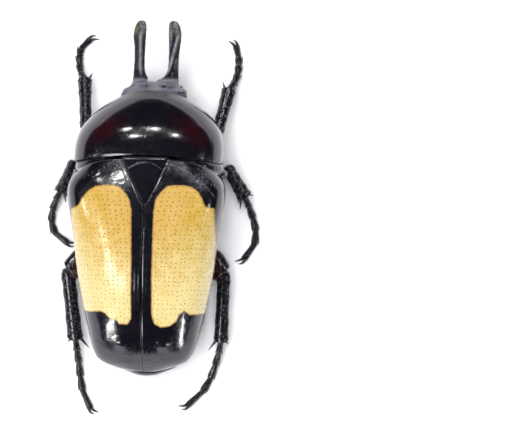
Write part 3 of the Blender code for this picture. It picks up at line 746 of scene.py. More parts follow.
def plate_with_glint_finish(c, name):
    """Polished black with a fine line of painted glints along its edges."""
    f = new_finish(name)
    where = f.place()
    black = f.blend(f.cloud(where, 0.9, 4.0), c.black, tinted(c.black, 2.0, 1.5, 1.4))
    # Painted glints along the marked line
    ground = f.blend(painted_glints(f, where), black, c.line)
    grain = f.grain(where, 0.001)
    rough = f.gloss(where, 0.10, 0.18)
    return f.surface(ground, rough, grain, coat=0.7)


def painted_glints(f, where):
    """Share of painted glints at a spot, broken up into fine grains along the marked line."""
    grains = f.span(f.cloud(where, 6.5, 4.0, 0.75), 0.42, 0.60)
    return f.sum("MULTIPLY", f.mark("Line"), grains)


def head_finish(c, name):
    """The head's violet-grey painted reflection, left dark in spots of painted shade."""
    f = new_finish(name)
    where = f.place()
    tone = f.span(f.cloud(where, 2.2, 5.0, 0.65), 0.3, 0.7)
    # Painted reflection, lighter and darker in clouds
    ground = f.blend(tone, tinted(c.bloom, 0.62, 0.62, 0.62), c.bloom)
    spots = f.span(f.cloud(where, 5.0, 4.0, 0.7), 0.2, 0.8, -0.45, 0.45)
    # Painted shade: here the painted reflection gives way to black
    shaded = f.sum("ADD", f.mark("Worn"), spots)
    ground = f.blend(f.span(shaded, 0.35, 0.75), ground, c.black)
    grain = f.relief(f.cloud(where, 12.0, 3.0), 0.004)
    normal = f.relief(f.pits(where, 6.0, 0.9, 0.1, 0.5), 0.02, grain)
    return f.surface(ground, 0.30, normal, coat=0.4, coat_roughness=0.12)


def horn_finish(c, name):
    """Dull horn: silvery ridge, dark furrows beside it, coarse pits, an olive tinge and a painted
    reflection over its foot.
    """
    f = new_finish(name)
    where = f.place((1, 0.55, 1))
    blotch = f.cloud(where, 3.0, 5.0, 0.7)
    share = f.sum("ADD", f.mark("Ridge"), f.span(blotch, 0.25, 0.75, -0.55, 0.55))
    ground = f.blend(f.span(share, -0.5, 1.1), c.black, c.horn)
    olive = tinted(c.horn, 0.42, 0.42, 0.16)
    ground = f.blend(f.sum("MULTIPLY", f.mark("Olive"), 0.8), ground, olive)
    ground = f.blend(f.pits(where, 6.0, 1.0, 0.05, 0.30, 0.75, 0.0), ground, c.black)
    # Painted reflection: the head's violet grey spreads over the horn's foot
    ground = f.blend(f.mark("Bloom"), ground, c.bloom)
    fibres = f.relief(f.cloud(f.place((1, 0.18, 1)), 9.0, 3.0, 0.6), 0.03)
    normal = f.relief(f.pits(where, 6.0, 1.0, 0.08, 0.5), 0.06, fibres)
    rough = f.span(f.cloud(where, 5.0, 4.0), 0.3, 0.7, 0.28, 0.50)
    return f.surface(ground, rough, normal, coat=0.2, coat_roughness=0.2)


def eye_finish(c, name):
    """Dark eye with fine hexagonal facets."""
    facet = bpy.context.scene.beetle_sizes.facet / MM
    f = new_finish(name)
    where = f.place()
    tone = f.span(f.cloud(where, 2.5, 2.0), 0.3, 0.7)
    ground = f.blend(tone, c.eye, tinted(c.eye, 2.5, 2.6, 2.4))
    dome = f.pits(where, 1 / facet, 0.25, 0.0, 0.6, 1.0, 0.0)
    return f.surface(ground, 0.18, f.relief(dome, 0.012), coat=0.5)


def hair_finish(c, name):
    f = new_finish(name)
    ground = f.blend(f.cloud(f.place(), 6.0, 2.0), tinted(c.hair, 0.5, 0.5, 0.5), c.hair)
    return f.surface(ground, 0.42, None)


def case_finish(c, name):
    """Black wing case with a yellow field, pitted in rows along it."""
    pitch = bpy.context.scene.beetle_sizes.row_pitch / MM
    f = new_finish(name)
    where = f.place()
    wander = f.span(f.cloud(where, 5.0, 3.0, 0.6), 0.0, 1.0, -0.05, 0.05)
    inside = f.sum("ADD", f.mark("Field"), wander)
    yellow = f.span(inside, -0.03, 0.04)
    rim = f.span(inside, 0.02, 0.16, 1.0, 0.0)
    tone = f.sum("ADD", f.mark("Pale"), f.span(f.cloud(where, 1.1, 4.0), 0.2, 0.8, -0.18, 0.18))
    field = f.blend(f.span(tone, 0.0, 1.0), c.gold, c.straw)
    mottle = f.span(f.cloud(where, 7.0, 4.0, 0.7), 0.5, 0.85, 0.0, 0.35)
    field = f.blend(mottle, field, tinted(c.gold, 0.78, 0.62, 0.6))
    cell = f.cells(f.chart(1 / pitch, 1 / (pitch * 1.15)), 1.0, 0.40, flat=True)
    kept = f.node("ShaderNodeSeparateColor", {0: cell.outputs["Color"]}).outputs[0]
    dot = f.span(cell.outputs["Distance"], 0.06, 0.17, 1.0, 0.0)
    dot = f.sum("MULTIPLY", dot, f.span(kept, 0.08, 0.16))
    small = f.pits(f.chart(2 / pitch, 2 / pitch), 1.0, 0.9, 0.10, 0.24, 1.0, 0.0, flat=True)
    speck = f.sum("MULTIPLY", small, 0.34)
    field = f.blend(f.sum("MAXIMUM", f.sum("MULTIPLY", dot, 0.95), speck), field, c.pit)
    field = f.blend(f.sum("MULTIPLY", rim, 0.85), field, FIELD_RIM)
    black = f.blend(f.span(f.cloud(where, 0.9, 4.0, 0.6), 0.45, 0.75), c.black,
                    tinted(c.black, 2.0, 1.4, 1.3))
    # Painted glints along the marked line over the black
    ground = f.blend(yellow, f.blend(painted_glints(f, where), black, c.line), field)
    waves = f.relief(f.cloud(where, 1.3, 2.0), 0.018)
    grain = f.grain(where, 0.001, waves)
    rows_of_pits = f.relief(f.sum("MULTIPLY", f.sum("MULTIPLY", dot, yellow), -1.0), 0.02, grain)
    bowls = f.sum("MULTIPLY", f.sum("SUBTRACT", f.pits(where, 5.2, 1.0, 0.12, 0.45), 1.0),
                  f.mark("Coarse"))
    normal = f.relief(bowls, 0.07, rows_of_pits)
    rough = f.gloss(where, 0.12, 0.22)
    rough = f.sum("ADD", rough, f.sum("MULTIPLY", yellow, 0.14))
    return f.surface(ground, rough, normal, coat=0.6, coat_roughness=0.09)


FINISHES = {
    "scutellum_polish": plate_with_glint_finish,
    "head_bloom": head_finish,
    "rough_horn": horn_finish,
    "faceted_eye": eye_finish,
    "bristle": hair_finish,
    "yellow_field_case": case_finish,
}


def pick(name):
    """A finish is made once and shared after that."""
    colours = bpy.context.scene.beetle_colours
    if name in CUTICLES and name not in bpy.data.materials:
        cuticle(colours, name, **CUTICLES[name])
    elif name not in bpy.data.materials:
        FINISHES[name](colours, name)
    return bpy.data.materials[name]


def scutellum_half(y):
    """Half width of the scutellum at a station."""
    share = (y - SCUTELLUM_TIP) / (SCUTELLUM_BASE - SCUTELLUM_TIP)
    return SCUTELLUM_HALF * clamp(share) ** 0.85


def field_depth(side, x, y):
    """How far inside the yellow field a point lies, in millimetres; negative outside."""
    outline = FIELD[side]
    point = Vector((x, y))
    nearest = 1e9
    inside = False
    for start, end in zip(outline, outline[1:] + outline[:1]):
        a, b = Vector(start), Vector(end)
        step = b - a
        share = clamp((point - a).dot(step) / step.length_squared)
        nearest = min(nearest, (a + step * share - point).length)
        if (a.y > y) != (b.y > y) and x < a.x + (y - a.y) / (b.y - a.y) * (b.x - a.x):
            inside = not inside
    return nearest if inside else -nearest


def case_point(side, u, v):
    """A point of a wing case's outer face: u from the seam to the side edge, v base to tip."""
    sizes = bpy.context.scene.beetle_sizes
    tuck = clamp(1 - v / CASE_TUCKED)
    along = clamp((v - CASE_TUCKED) / (1 - CASE_TUCKED))
    lip = clamp((u - CASE_TURNED) / (1 - CASE_TURNED))
    across = clamp(u / CASE_TURNED) ** 1.3
    at_row = along * (len(CASE_ROWS) - 1)
    y, half, edge, crown, turned = spline(CASE_ROWS, at_row)
    half += spline([(extra,) for extra in CASE_EXTRA[side]], at_row)[0]
    inner = sizes.seam / MM / 2
    if y > SCUTELLUM_TIP - 0.1:
        inner = max(inner, scutellum_half(y) + 0.03)
    roundness = CASE_ARCH[0] + (CASE_ARCH[1] - CASE_ARCH[0]) * smooth(y, *CASE_ARCH_FADE)
    start = math.asin((inner / half) ** (roundness / 2))
    angle = start + (math.pi / 2 - start) * across
    x, rise = arch(half, crown - edge, angle, roundness)
    cut = SHOULDER_BOW * (x / half) ** 2 + SHOULDER_CUT * (x / half) ** 4
    fade = max(0.0, 1 - along * SHOULDER_FADE)
    z = edge + rise
    away = x - inner
    rear = smooth(-y, -1.0, 6.0)
    for (apart, wide), deep in zip(CASE_GROOVES, (0.35 + 0.65 * rear, rear)):
        z -= sizes.groove / MM * deep * bell(away - apart, wide)
    z -= 0.04 * bell(away, 0.05)
    for heights, *spot in CASE_HUMPS:
        z += heights[side > 0] * hump(x, y, *spot)
    z += 0.05 * hump(x, 0, 0.50 * half, 0, 0.9, 1) * smooth(-y, -3.0, 0.0)
    x += 0.05 * smooth(across, 0.86, 1.0)
    x -= 0.03 * smooth(lip, 0.2, 1.0)
    z -= turned * lip
    y += 0.22 * tuck
    z -= 0.45 * tuck ** 2
    return swung((side * x, y - cut * fade, z), CASE_LEAN_START, CASE_LEAN)


def case_mark(side, co):
    """Where a wing case is pitted: its front edge, the right shoulder and the tips."""
    x, y = abs(co.x), co.y
    shoulder = (0.12, 1.0)[side > 0] * hump(x, y, 4.25, 2.85, 0.50, 0.80)
    front = (0.15, 0.5)[side > 0] * bell(y + 0.055 * x ** 2 - 4.25, 0.20)
    tip = 0.08 * smooth(-y, 9.0, 10.2) * (1 - smooth(x, 2.0, 3.2))
    margin = 0.10 * smooth(-y, 8.0, 9.0) * smooth(6.1 - co.z, 0.8, 1.6)
    return clamp(shoulder + front + tip + margin)


def case_glints(side, co):
    """Painted glints: the fine pale line beside the scutellum, along the seam and round the right
    shoulder, with pale grains on that shoulder.
    """
    x, y = abs(co.x), co.y
    beside = bell(x - scutellum_half(y) - 0.07, 0.05) * smooth(y, 0.5, 0.8)
    seam = 0.6 * bell(x - 0.06, 0.04) * smooth(y, -6.0, 0.8) * smooth(1.0 - y, 0, 0.3)
    front = 0.0
    if side > 0:
        arc = y + 0.055 * x ** 2 + 0.0012 * x ** 4
        front = bell(arc - 4.30, 0.06) * (1 - smooth(x, 5.2, 5.7))
    # Painted glints over the right shoulder's pits
    grains = 0.0 if side < 0 else 0.6 * hump(x, y, 4.4, 2.8, 0.45, 0.75)
    return clamp(beside + seam + front + grains)


class BEETLE_OT_wing_cases(bpy.types.Operator):
    """Make the two wing cases with their yellow fields"""
    bl_idname = "beetle.wing_cases"
    bl_label = "Wing cases"

    def execute(self, context):
        wall = context.scene.beetle_sizes.case_wall
        for tag, side in SIDES:
            bm = new_form()
            lay(bm, lambda u, v: case_point(side, u, v), across=84, along=150)
            face_up(bm)
            layer = bm.loops.layers.uv["Chart"]
            for face in bm.faces:
                for loop in face.loops:
                    share = loop[layer].uv.x
                    loop[layer].uv = (share * 6.6, loop.vert.co.y)
            mark(bm, "Field", lambda co: field_depth(side, side * co.x, co.y))
            mark(bm, "Pale", lambda co: 0.05 + 0.95 * clamp((1.0 - co.y) / 8) ** 1.4
                 + 0.10 * (abs(co.x) - 2.4))
            mark(bm, "Coarse", lambda co: case_mark(side, co))
            # Painted glints beside the scutellum, along the seam and on the right shoulder
            mark(bm, "Line", lambda co: case_glints(side, co))
            obj = finish("wing_case_" + tag, bm, pick("yellow_field_case"),
                         ["elytron_" + tag], closed=False)
            thicken(obj, wall, even=True)
        return {"FINISHED"}


def shield_point(u, v):
    """A point of the neck shield: u runs round it from the crown, v from its rear to its front."""
    first, last = SHIELD_FOLDS
    share = clamp((v - first) / (last - first))
    y, half, edge, crown, under = spline(SHIELD_ROWS, share * (len(SHIELD_ROWS) - 1))
    side = 1 if u <= 0.5 else -1
    turn = 2 * min(u, 1 - u)
    if turn <= SHIELD_TOP:
        x, rise = arch(half, crown - edge, math.pi / 2 * turn / SHIELD_TOP, ARCH)
        z = edge + rise
    else:
        down = (1 - turn) / (1 - SHIELD_TOP)
        x, drop = arch(half, edge - under, math.pi / 2 * down, BELLY_ARCH)
        z = edge - drop
    bow = SHIELD_FRONT_BOW * share ** 2 + SHIELD_HIND_BOW * (1 - share) ** 2
    y += bow * (z - under) / (crown - under) * (1 - (x / half) ** 2)
    front = smooth(share, 0.955, 0.975) * (1 - smooth(share, 0.99, 1.0))
    rear = smooth(0.03 - share, 0.0, 0.02)
    belt = bell(z - edge, 0.10) * (1 - smooth(share, 0.93, 1.0))
    swell = 1 + 0.002 * front - 0.006 * rear + 0.008 * belt
    groove = bell(share - 0.975, 0.006)
    swell -= 0.002 * groove * smooth(z, edge, edge + 0.3)
    x, z = x * swell, NECK_HEIGHT + (z - NECK_HEIGHT) * swell
    if v < first:
        inward = 1 - v / first
        x, z = x * (1 - inward), z + (4.6 - z) * inward
        y += 0.25 * smooth(inward, 0.0, 0.3)
    elif v > last:
        inward = (v - last) / (1 - last)
        rim = 1 - 0.22 * smooth(inward, 0.0, 0.35) - 0.78 * smooth(inward, 0.6, 1.0)
        x, z = x * rim, NECK_HEIGHT + (z - NECK_HEIGHT) * rim
        y += 0.05 * math.sin(math.pi * clamp(inward / 0.35))
        y += (8.7 - y) * smooth(inward, 0.25, 0.75)
    return leaned((side * x, y, z))


def wine_on_shield(co):
    """Deep red on both shoulders of the shield, behind its front slope."""
    x = unleaned_x(co)
    if co.z < 4.6:
        return 0.0
    amount = 0.0
    for centre_x, centre_y, reach in WINE_SPOTS:
        tilt = math.copysign(WINE_TURN, -centre_x)
        across, along = x - centre_x, co.y - centre_y
        wide = across * math.cos(tilt) + along * math.sin(tilt)
        long = -across * math.sin(tilt) + along * math.cos(tilt)
        amount = max(amount, reach * hump(wide, long, 0, 0, *WINE_REACH))
    return amount


def under_grooves(points, legs):
    """Hollows along the underside in which the thighs of these legs lie."""
    spots = [spline(rows, k / 12 * (len(rows) - 1))
             for rows in map(thigh_rows, legs) for k in range(13)]
    for vert in points:
        for x, y, z, half, depth in spots:
            reach = math.hypot(vert.co.x - x, vert.co.y - y) / (half + 0.12)
            if reach < 1:
                roof = z + (depth + 0.05) * math.sqrt(1 - reach ** 2)
                if z - 1.2 < vert.co.z < roof:
                    vert.co.z = roof


class BEETLE_OT_neck_shield(bpy.types.Operator):
    """Make the neck shield with the fore coxae on its underside"""
    bl_idname = "beetle.neck_shield"
    bl_label = "Neck shield"

    def execute(self, context):
        bm = new_form()
        lay(bm, shield_point, across=160, along=110)
        under_grooves([vert for vert in bm.verts if vert.co.z < 3.0], ("fore_l", "fore_r"))
        centre, radii = FORE_COXA
        for side in (-1, 1):
            ball(bm, leaned(mirrored(centre, side)), radii)
        mark(bm, "Wine", wine_on_shield)
        mark(bm, "Coarse", lambda co: clamp(
            0.9 * smooth(4.9 - co.z, 0.0, 1.0)
            + 0.5 * smooth(co.y + 0.06 * co.x ** 2, 10.15, 10.5)
            + 0.5 * smooth(4.9 - co.y, 0.0, 0.3)))
        finish("neck_shield", bm, pick("shield_polish"), ["pronotum"])
        return {"FINISHED"}


class BEETLE_OT_scutellum(bpy.types.Operator):
    """Make the long triangular plate between the wing cases"""
    bl_idname = "beetle.scutellum"
    bl_label = "Scutellum"

    def execute(self, context):
        def at(u, v):
            along = clamp((v - SCUTELLUM_TUCKED) / (1 - SCUTELLUM_TUCKED))
            y = SCUTELLUM_BASE + (SCUTELLUM_TIP - 0.02 - SCUTELLUM_BASE) * along
            half = max(scutellum_half(y), 0.02)
            share = 2 * u - 1
            top = SCUTELLUM_TOP - 0.035 * (y - SCUTELLUM_TIP)
            edge = smooth(abs(share) * half, half - 0.06, half - 0.01)
            tuck = clamp(1 - v / SCUTELLUM_TUCKED)
            z = top - 0.05 * share ** 2 - 0.03 * edge - 0.4 * tuck ** 2
            return Vector((share * half, y + 0.3 * tuck, z))

        bm = new_form()
        lay(bm, at, across=48, along=60)
        face_up(bm)
        # Painted glints along the scutellum's front edge, stronger on the left
        mark(bm, "Line", lambda co: clamp(
            (1.0 if co.x < 0 else 0.3) * bell(co.y + 0.30 * co.x ** 2 - 4.20, 0.06)))
        obj = finish("scutellum_plate", bm, pick("scutellum_polish"),
                     ["scutellum"], closed=False)
        thicken(obj, SCUTELLUM_THICKNESS * MM)
        return {"FINISHED"}


def head_point(u, v):
    """A point of the head, from the neck to the edge between the horns."""
    share = (1 - math.cos(math.pi * v)) / 2
    y, half, middle, rise, drop = spline(HEAD_ROWS, share * (len(HEAD_ROWS) - 1))
    wide, high = oval(2 * math.pi * u, 2.7)
    grown = round_end(share, 0.05, 0.10)
    x = half * wide * grown
    z = (rise if high > 0 else drop) * high * grown
    if high > 0:
        for side in (-1, 1):
            for height, out, *spot in HEAD_HUMPS:
                z += height * hump(x, y, side * out, *spot)
    y -= 0.05 * hump(x, y, 0, 10.9, 0.75, 0.5)
    return leaned((x, y, middle + z))


def head_shade(co):
    """Painted shade in the head's painted reflection: two dimples, the front edge, the rims' outer
    edges and its lower part.
    """
    x, y = unleaned_x(co), co.y
    amount = smooth(3.75 - co.z, 0.0, 0.3)
    for spot in SHADED_SPOTS:
        amount = max(amount, hump(x, y, *spot))
    front = bell(y - 10.86, 0.035) * (1 - smooth(abs(x), 0.7, 1.0))
    outer = 0.7 * bell(abs(x) * 0.76 + y * 0.65 - 8.15, 0.05) * smooth(abs(x), 1.9, 2.2)
    return clamp(max(amount, 0.9 * front, outer))


class BEETLE_OT_head(bpy.types.Operator):
    """Make the head with its mouth parts and the rims across the eyes"""
    bl_idname = "beetle.head"
    bl_label = "Head"

    def execute(self, context):
        bm = new_form()
        lay(bm, head_point, across=96, along=60)
        ball(bm, leaned(MOUTH[0]), MOUTH[1])
        for side in (-1, 1):
            palp = [(*leaned(mirrored(row, side)), row[3], row[3]) for row in PALP]
            limb(bm, palp, sides=12, rings=14, near=0.2, far=0.3)
            canthus = [(*leaned(mirrored(row, side)), row[3], CANTHUS_DEPTH) for row in CANTHUS]
            limb(bm, canthus, sides=20, rings=30, near=0.1, far=0.15)
        # Painted shade where the head's painted reflection is left black
        mark(bm, "Worn", head_shade)
        finish("head_capsule", bm, pick("head_bloom"), ["head"])
        return {"FINISHED"}


class BEETLE_OT_eyes(bpy.types.Operator):
    """Make the two faceted eyes"""
    bl_idname = "beetle.eyes"
    bl_label = "Eyes"

    def execute(self, context):
        centre, radii = EYE
        spread = Matrix.Diagonal((*(radius + EYE_SWELL for radius in radii), 1.0))
        for tag, side in SIDES:
            bm = new_form()
            bmesh.ops.create_icosphere(
                bm, subdivisions=4, radius=1.0, calc_uvs=True,
                matrix=Matrix.Translation(leaned(mirrored(centre, side))) @ spread)
            finish("eye_lens_" + tag, bm, pick("faceted_eye"), ["eye_" + tag])
        return {"FINISHED"}


def horn_row(y):
    """Centre line and half width of a horn at a station."""
    for (y0, x0, half0, _), (y1, x1, half1, _) in zip(HORN_ROWS, HORN_ROWS[1:]):
        if y <= y1:
            break
    share = clamp((y - y0) / (y1 - y0))
    return x0 + (x1 - x0) * share, half0 + (half1 - half0) * share


def horn_ridge(side, place, rise):
    """How far a spot on a horn belongs to its ridge (above 0) or to the furrows beside it."""
    start, slant = HORN_RIDGE[side]
    line = start + slant * rise
    low, high = smooth(rise, 0.0, 0.12), 1 - smooth(rise, 0.68, 0.86)
    ridge = bell(place - line, 0.26) * low * high
    inner = bell(place - line + 0.55, 0.26) * smooth(rise, 0.10, 0.30) * high
    outer = bell(place - line - 0.60, 0.34) * low * high
    foot = bell(rise - 0.05, 0.07)
    return ridge - 0.8 * inner - 0.9 * outer - 0.9 * foot


def horn_form(side):
    """One horn: flat, waisted above its flared root, spoon-shaped at its tip."""
    last = len(HORN_ROWS) - 1
    last_y = HORN_ROWS[-1][0]

    def at(u, v):
        share = v ** 0.92
        y, offset, half, thick = spline(HORN_ROWS, share * last)
        rise = clamp((y - HORN_FOOT) / (last_y - HORN_FOOT))
        wide, high = oval(2 * math.pi * u, 2.3)
        grown = round_end(share, 0.03, 0.09)
        x = half * wide * grown
        if wide < 0:
            x += HORN_FLARE[side] * wide * bell(max(0, y - 10.85), HORN_FLARE_REACH)
        z = thick * high * grown
        if high > 0:
            spoon = bell(wide, 0.55) * smooth(rise, 0.70, 0.85)
            z += (0.13 * horn_ridge(side, wide, rise) - 0.10 * spoon) * grown
        knobs = noise.noise(Vector((x * 3 + side, y * 3, z * 3)))
        height = HORN_LOW + HORN_RISE * rise ** 1.3
        out = 1 + 0.05 * knobs
        return leaned((side * (offset + x * out), y, height + z * out))

    def local(co):
        offset, half = horn_row(co.y)
        return (side * unleaned_x(co) - offset) / half, (co.y - HORN_FOOT) / (last_y - HORN_FOOT)

    bm = new_form()
    lay(bm, at, across=56, along=110)
    mark(bm, "Ridge", lambda co: horn_ridge(side, *local(co)))
    mark(bm, "Olive", lambda co: hump(*local(co), 0.45, 0.86, 0.5, 0.10) * (1 if side < 0 else 0.3))
    # Where the head's painted reflection spreads over the horn's foot
    mark(bm, "Bloom", lambda co: smooth(11.20 - co.y, 0.0, 0.25))
    return bm


class BEETLE_OT_horns(bpy.types.Operator):
    """Make the two horns of the head"""
    bl_idname = "beetle.horns"
    bl_label = "Horns"

    def execute(self, context):
        for tag, side in SIDES:
            finish("horn_blade_" + tag, horn_form(side), pick("rough_horn"),
                   ["horn_" + tag])
        return {"FINISHED"}


class BEETLE_OT_feelers(bpy.types.Operator):
    """Make the folded feelers with their clubs of three leaves"""
    bl_idname = "beetle.feelers"
    bl_label = "Feelers"

    def execute(self, context):
        for tag, side in SIDES:
            bm = new_form()
            joints = [leaned(mirrored(point, side)) for point in STALK]
            for start, end in zip(joints, joints[1:]):
                for k in range(2):
                    a, b = start.lerp(end, k / 2), start.lerp(end, (k + 1) / 2 + 0.05)
                    rows = [(*a.lerp(b, share), half, half) for share, half in STALK_ROWS]
                    limb(bm, rows, sides=12, rings=10, near=0.3, far=0.3)
            root = leaned(mirrored(CLUB_ROOT, side))
            for k in range(3):
                tip = leaned(mirrored(Vector(CLUB_TIP) + Vector(LEAF_SPREAD) * k, side))
                rows = [(*root.lerp(tip, share), *halves) for share, *halves in LEAF_ROWS]
                limb(bm, rows, sides=14, rings=18, near=0.15, far=0.3)
            mark(bm, "Coarse", 0.4)
            finish("feeler_" + tag, bm, pick("feeler_brown"), ["antenna_" + tag])
        return {"FINISHED"}


def trunk_point(row, u):
    """A section of the trunk: arched back, ledge under the wing cases, round belly."""
    y, upper, lower, ledge, crown, belly = row
    side = 1 if u <= 0.5 else -1
    turn = 2 * min(u, 1 - u)
    if turn <= TRUNK_TOP:
        x, rise = arch(upper, crown - ledge - 0.1, math.pi / 2 * turn / TRUNK_TOP, ARCH)
        z = ledge + 0.1 + rise
    else:
        down = clamp((turn - TRUNK_TOP - 0.02) / (0.98 - TRUNK_TOP))
        x, drop = arch(lower, ledge - belly, math.pi / 2 * (1 - down), BELLY_ARCH)
        z = ledge - drop
    return Vector((side * x, y, z))


class BEETLE_OT_trunk(bpy.types.Operator):
    """Make the trunk with its keel and the middle and hind coxae"""
    bl_idname = "beetle.trunk"
    bl_label = "Trunk"

    def execute(self, context):
        last = len(CHEST_ROWS) - 1

        def at(u, v):
            share, inward = drawn_in(v, CHEST_END[0])
            point = trunk_point(spline(CHEST_ROWS, share * last), u)
            if point.z < 3.7:
                seam = bell(point.y - 0.9 + 0.25 * abs(point.x), 0.09)
                seam += bell(point.x, 0.08) * smooth(-point.y, -1.2, 0.2)
                seam += bell(abs(point.x) - 4.6 - 0.05 * point.y, 0.08)
                point.z += 0.07 * clamp(seam)
            return point.lerp(Vector((0, point.y, CHEST_END[1])), inward)

        bm = new_form()
        lay(bm, at, across=150, along=90)
        under_grooves([vert for vert in bm.verts if vert.co.z < 3.4],
                      ("mid_l", "mid_r", "hind_l", "hind_r"))
        ball(bm, *KEEL)
        for side in (-1, 1):
            for centre, radii in (MID_COXA, HIND_COXA, SHOULDER):
                ball(bm, mirrored(centre, side), radii, segments=28, rings=18)
            rows = [(side * x, *rest) for x, *rest in SIDE_PLATE]
            limb(bm, rows, sides=20, rings=40, near=0.1, far=0.2)
        mark(bm, "Coarse", lambda co: clamp(
            0.3 + 0.7 * smooth(abs(co.x), 3.0, 4.5) * smooth(4.2 - co.z, 0.0, 0.8)))
        finish("trunk", bm, pick("plate_polish"), ["thorax"])
        return {"FINISHED"}


class BEETLE_OT_hind_body(bpy.types.Operator):
    """Make the hind body in its segments, and its last plate"""
    bl_idname = "beetle.hind_body"
    bl_label = "Hind body"

    def execute(self, context):
        last = len(BELLY_ROWS) - 1

        def belly(u, v):
            share, inward = drawn_in(v, BELLY_END[0])
            y, upper, lower, ledge, crown, low = spline(BELLY_ROWS, share * last)
            part = (share * BELLY_SEGMENTS) % 1.0
            step = 0.10 * smooth(part, 0.86, 0.97) + 0.03 * part
            point = trunk_point((y, upper, lower - step, ledge, crown, low + step), u)
            point = point.lerp(Vector((0, y, BELLY_END[1])), inward)
            return swung(point, TAIL_LEAN_START, TAIL_LEAN)

        def tail(u, v):
            share = 1 - (1 - v) ** 1.6
            y, half, low, high = spline(TAIL_ROWS, share * (len(TAIL_ROWS) - 1))
            wide, up = oval(2 * math.pi * u, 2.3)
            grown = round_end(share, 0.04, 0.12)
            middle, rise = (low + high) / 2, (high - low) / 2
            point = (half * wide * grown, y, middle + rise * up * grown)
            return swung(point, TAIL_LEAN_START, TAIL_LEAN)

        bm = new_form()
        lay(bm, belly, across=130, along=120)
        mark(bm, "Coarse", lambda co: 0.35 + 0.5 * smooth(abs(co.x), 2.5, 4.0))
        finish("hind_body", bm, pick("plate_polish"), ["abdomen"])
        bm = new_form()
        lay(bm, tail, across=80, along=44)
        mark(bm, "Coarse", 0.8)
        finish("tail_plate", bm, pick("plate_polish"), ["pygidium"])
        return {"FINISHED"}


def thigh_rows(leg):
    """Hip to knee on a smooth bend, with half widths and depths."""
    root, middle, tip = FEMUR_HALF[pair_of(leg)]
    hip, bend, knee = (Vector(place) for place in LEGS[leg][:3])
    toward = (knee - bend).normalized()
    end = knee - toward * KNEE_ROOM * (0.1 if leg.startswith("hind") else 0.62)
    start = hip - (bend - hip).normalized() * HIP_REACH
    path = (start, hip, hip.lerp(bend, 0.5) - Vector((0, 0, 0.04)), bend,
            bend.lerp(end, 0.6), end)
    tip_share = 0.95 if leg.startswith("hind") else 0.72
    halves = (root * 0.6, root * 0.85, middle * 0.93, middle, tip * 1.2, tip * tip_share)
    return [(*point, half, min(half, FEMUR_DEPTH - 0.05 * abs(k - 3)))
            for k, (point, half) in enumerate(zip(path, halves))]


class BEETLE_OT_thighs(bpy.types.Operator):
    """Make the six thighs"""
    bl_idname = "beetle.thighs"
    bl_label = "Thighs"

    def execute(self, context):
        for leg in LEGS:
            bm = new_form()
            limb(bm, thigh_rows(leg), sides=28, rings=40, near=0.06, far=0.07,
                 section=lambda angle, share: oval(angle, 2.3))
            red = 2.5 if leg.startswith("hind") else 0.4
            fade = (5.2, 5.8) if leg.endswith("_r") else (5.9, 6.6)
            mark(bm, "Wine", lambda co: red * (1 - smooth(abs(co.x), *fade)))
            mark(bm, "Coarse", 0.3)
            finish("thigh_" + leg, bm, pick("thigh_polish"), ["femur_" + leg])
        return {"FINISHED"}


def shin_frame(leg):
    """Knee, ankle, the way along the shin and its outer side."""
    knee, ankle = Vector(LEGS[leg].knee), Vector(LEGS[leg].ankle)
    along = (ankle - knee).normalized()
    across = level_across(along)
    if across.x * (1 if leg.endswith("_r") else -1) < 0:
        across = -across
    return knee, ankle, along, across


def shin_half(leg, share):
    near, far = TIBIA_HALF[leg]
    return near + (far - near) * max(share, 0) ** 2


class BEETLE_OT_shins(bpy.types.Operator):
    """Make the six shins with their teeth and end spurs"""
    bl_idname = "beetle.shins"
    bl_label = "Shins"

    def execute(self, context):
        for leg in LEGS:
            knee, ankle, along, outward = shin_frame(leg)
            rows = []
            for share, width in SHIN_ROWS:
                half = shin_half(leg, share) * width
                rows.append((*(knee + (ankle - knee) * share), half, min(half, SHIN_DEPTH)))

            def section(angle, share):
                wide, high = oval(angle, 2.6)
                keel = 0.06 * math.cos(2 * angle) ** 6 + 0.05 * math.cos(4 * angle)
                teeth = 0.10 * max(0.0, math.sin(30 * share + 2 * angle)) ** 2
                keel += (teeth - 0.03) * abs(math.cos(angle)) ** 6
                return wide * (1 + keel), high * (1 + keel)

            bm = new_form()
            limb(bm, rows, sides=40, rings=60, near=0.05, far=0.03, section=section)
            span = (ankle - knee).length
            for share, way, reach, lean in TIBIA_SPINES[pair_of(leg)]:
                half = shin_half(leg, share)
                root = knee + along * span * share + outward * way * half * 0.55
                lean_dir = (outward * way + along * lean).normalized()
                tip = root + lean_dir * (half * 0.45 + reach)
                thorn(bm, root, tip, 0.13 + 0.03 * reach, sides=10, blunt=0.12)
            mark(bm, "Coarse", 1.0)
            finish("shin_" + leg, bm, pick("pitted_shin"), ["tibia_" + leg])
        return {"FINISHED"}


def foot_joints(leg):
    """The joints of a foot: down from the ankle, then along the floor."""
    _, ankle, along, _ = shin_frame(leg)
    spot = ankle + Vector((0, 0, FOOT_DROP))
    joints = [spot.copy()]
    spot += along * FOOT_START
    shares = TARSUS_SHARES[pair_of(leg)]
    for share, heading, level in zip(shares, LEGS[leg].headings, TARSUS_LEVELS):
        angle = math.radians(heading)
        step = Vector((math.cos(angle), math.sin(angle), 0)) * LEGS[leg].tarsus * share
        spot = Vector((spot.x + step.x, spot.y + step.y, level))
        joints.append(spot)
    return joints


def keep_in_box(bm):
    """Nothing on a foot reaches below the floor or out of the solids' own box."""
    low, high = ((Vector(corner) - ORIGIN) / MM for corner in CAD_BOX)
    for vert in bm.verts:
        vert.co = [clamp(part, *ends) for part, *ends in zip(vert.co, low, high)]


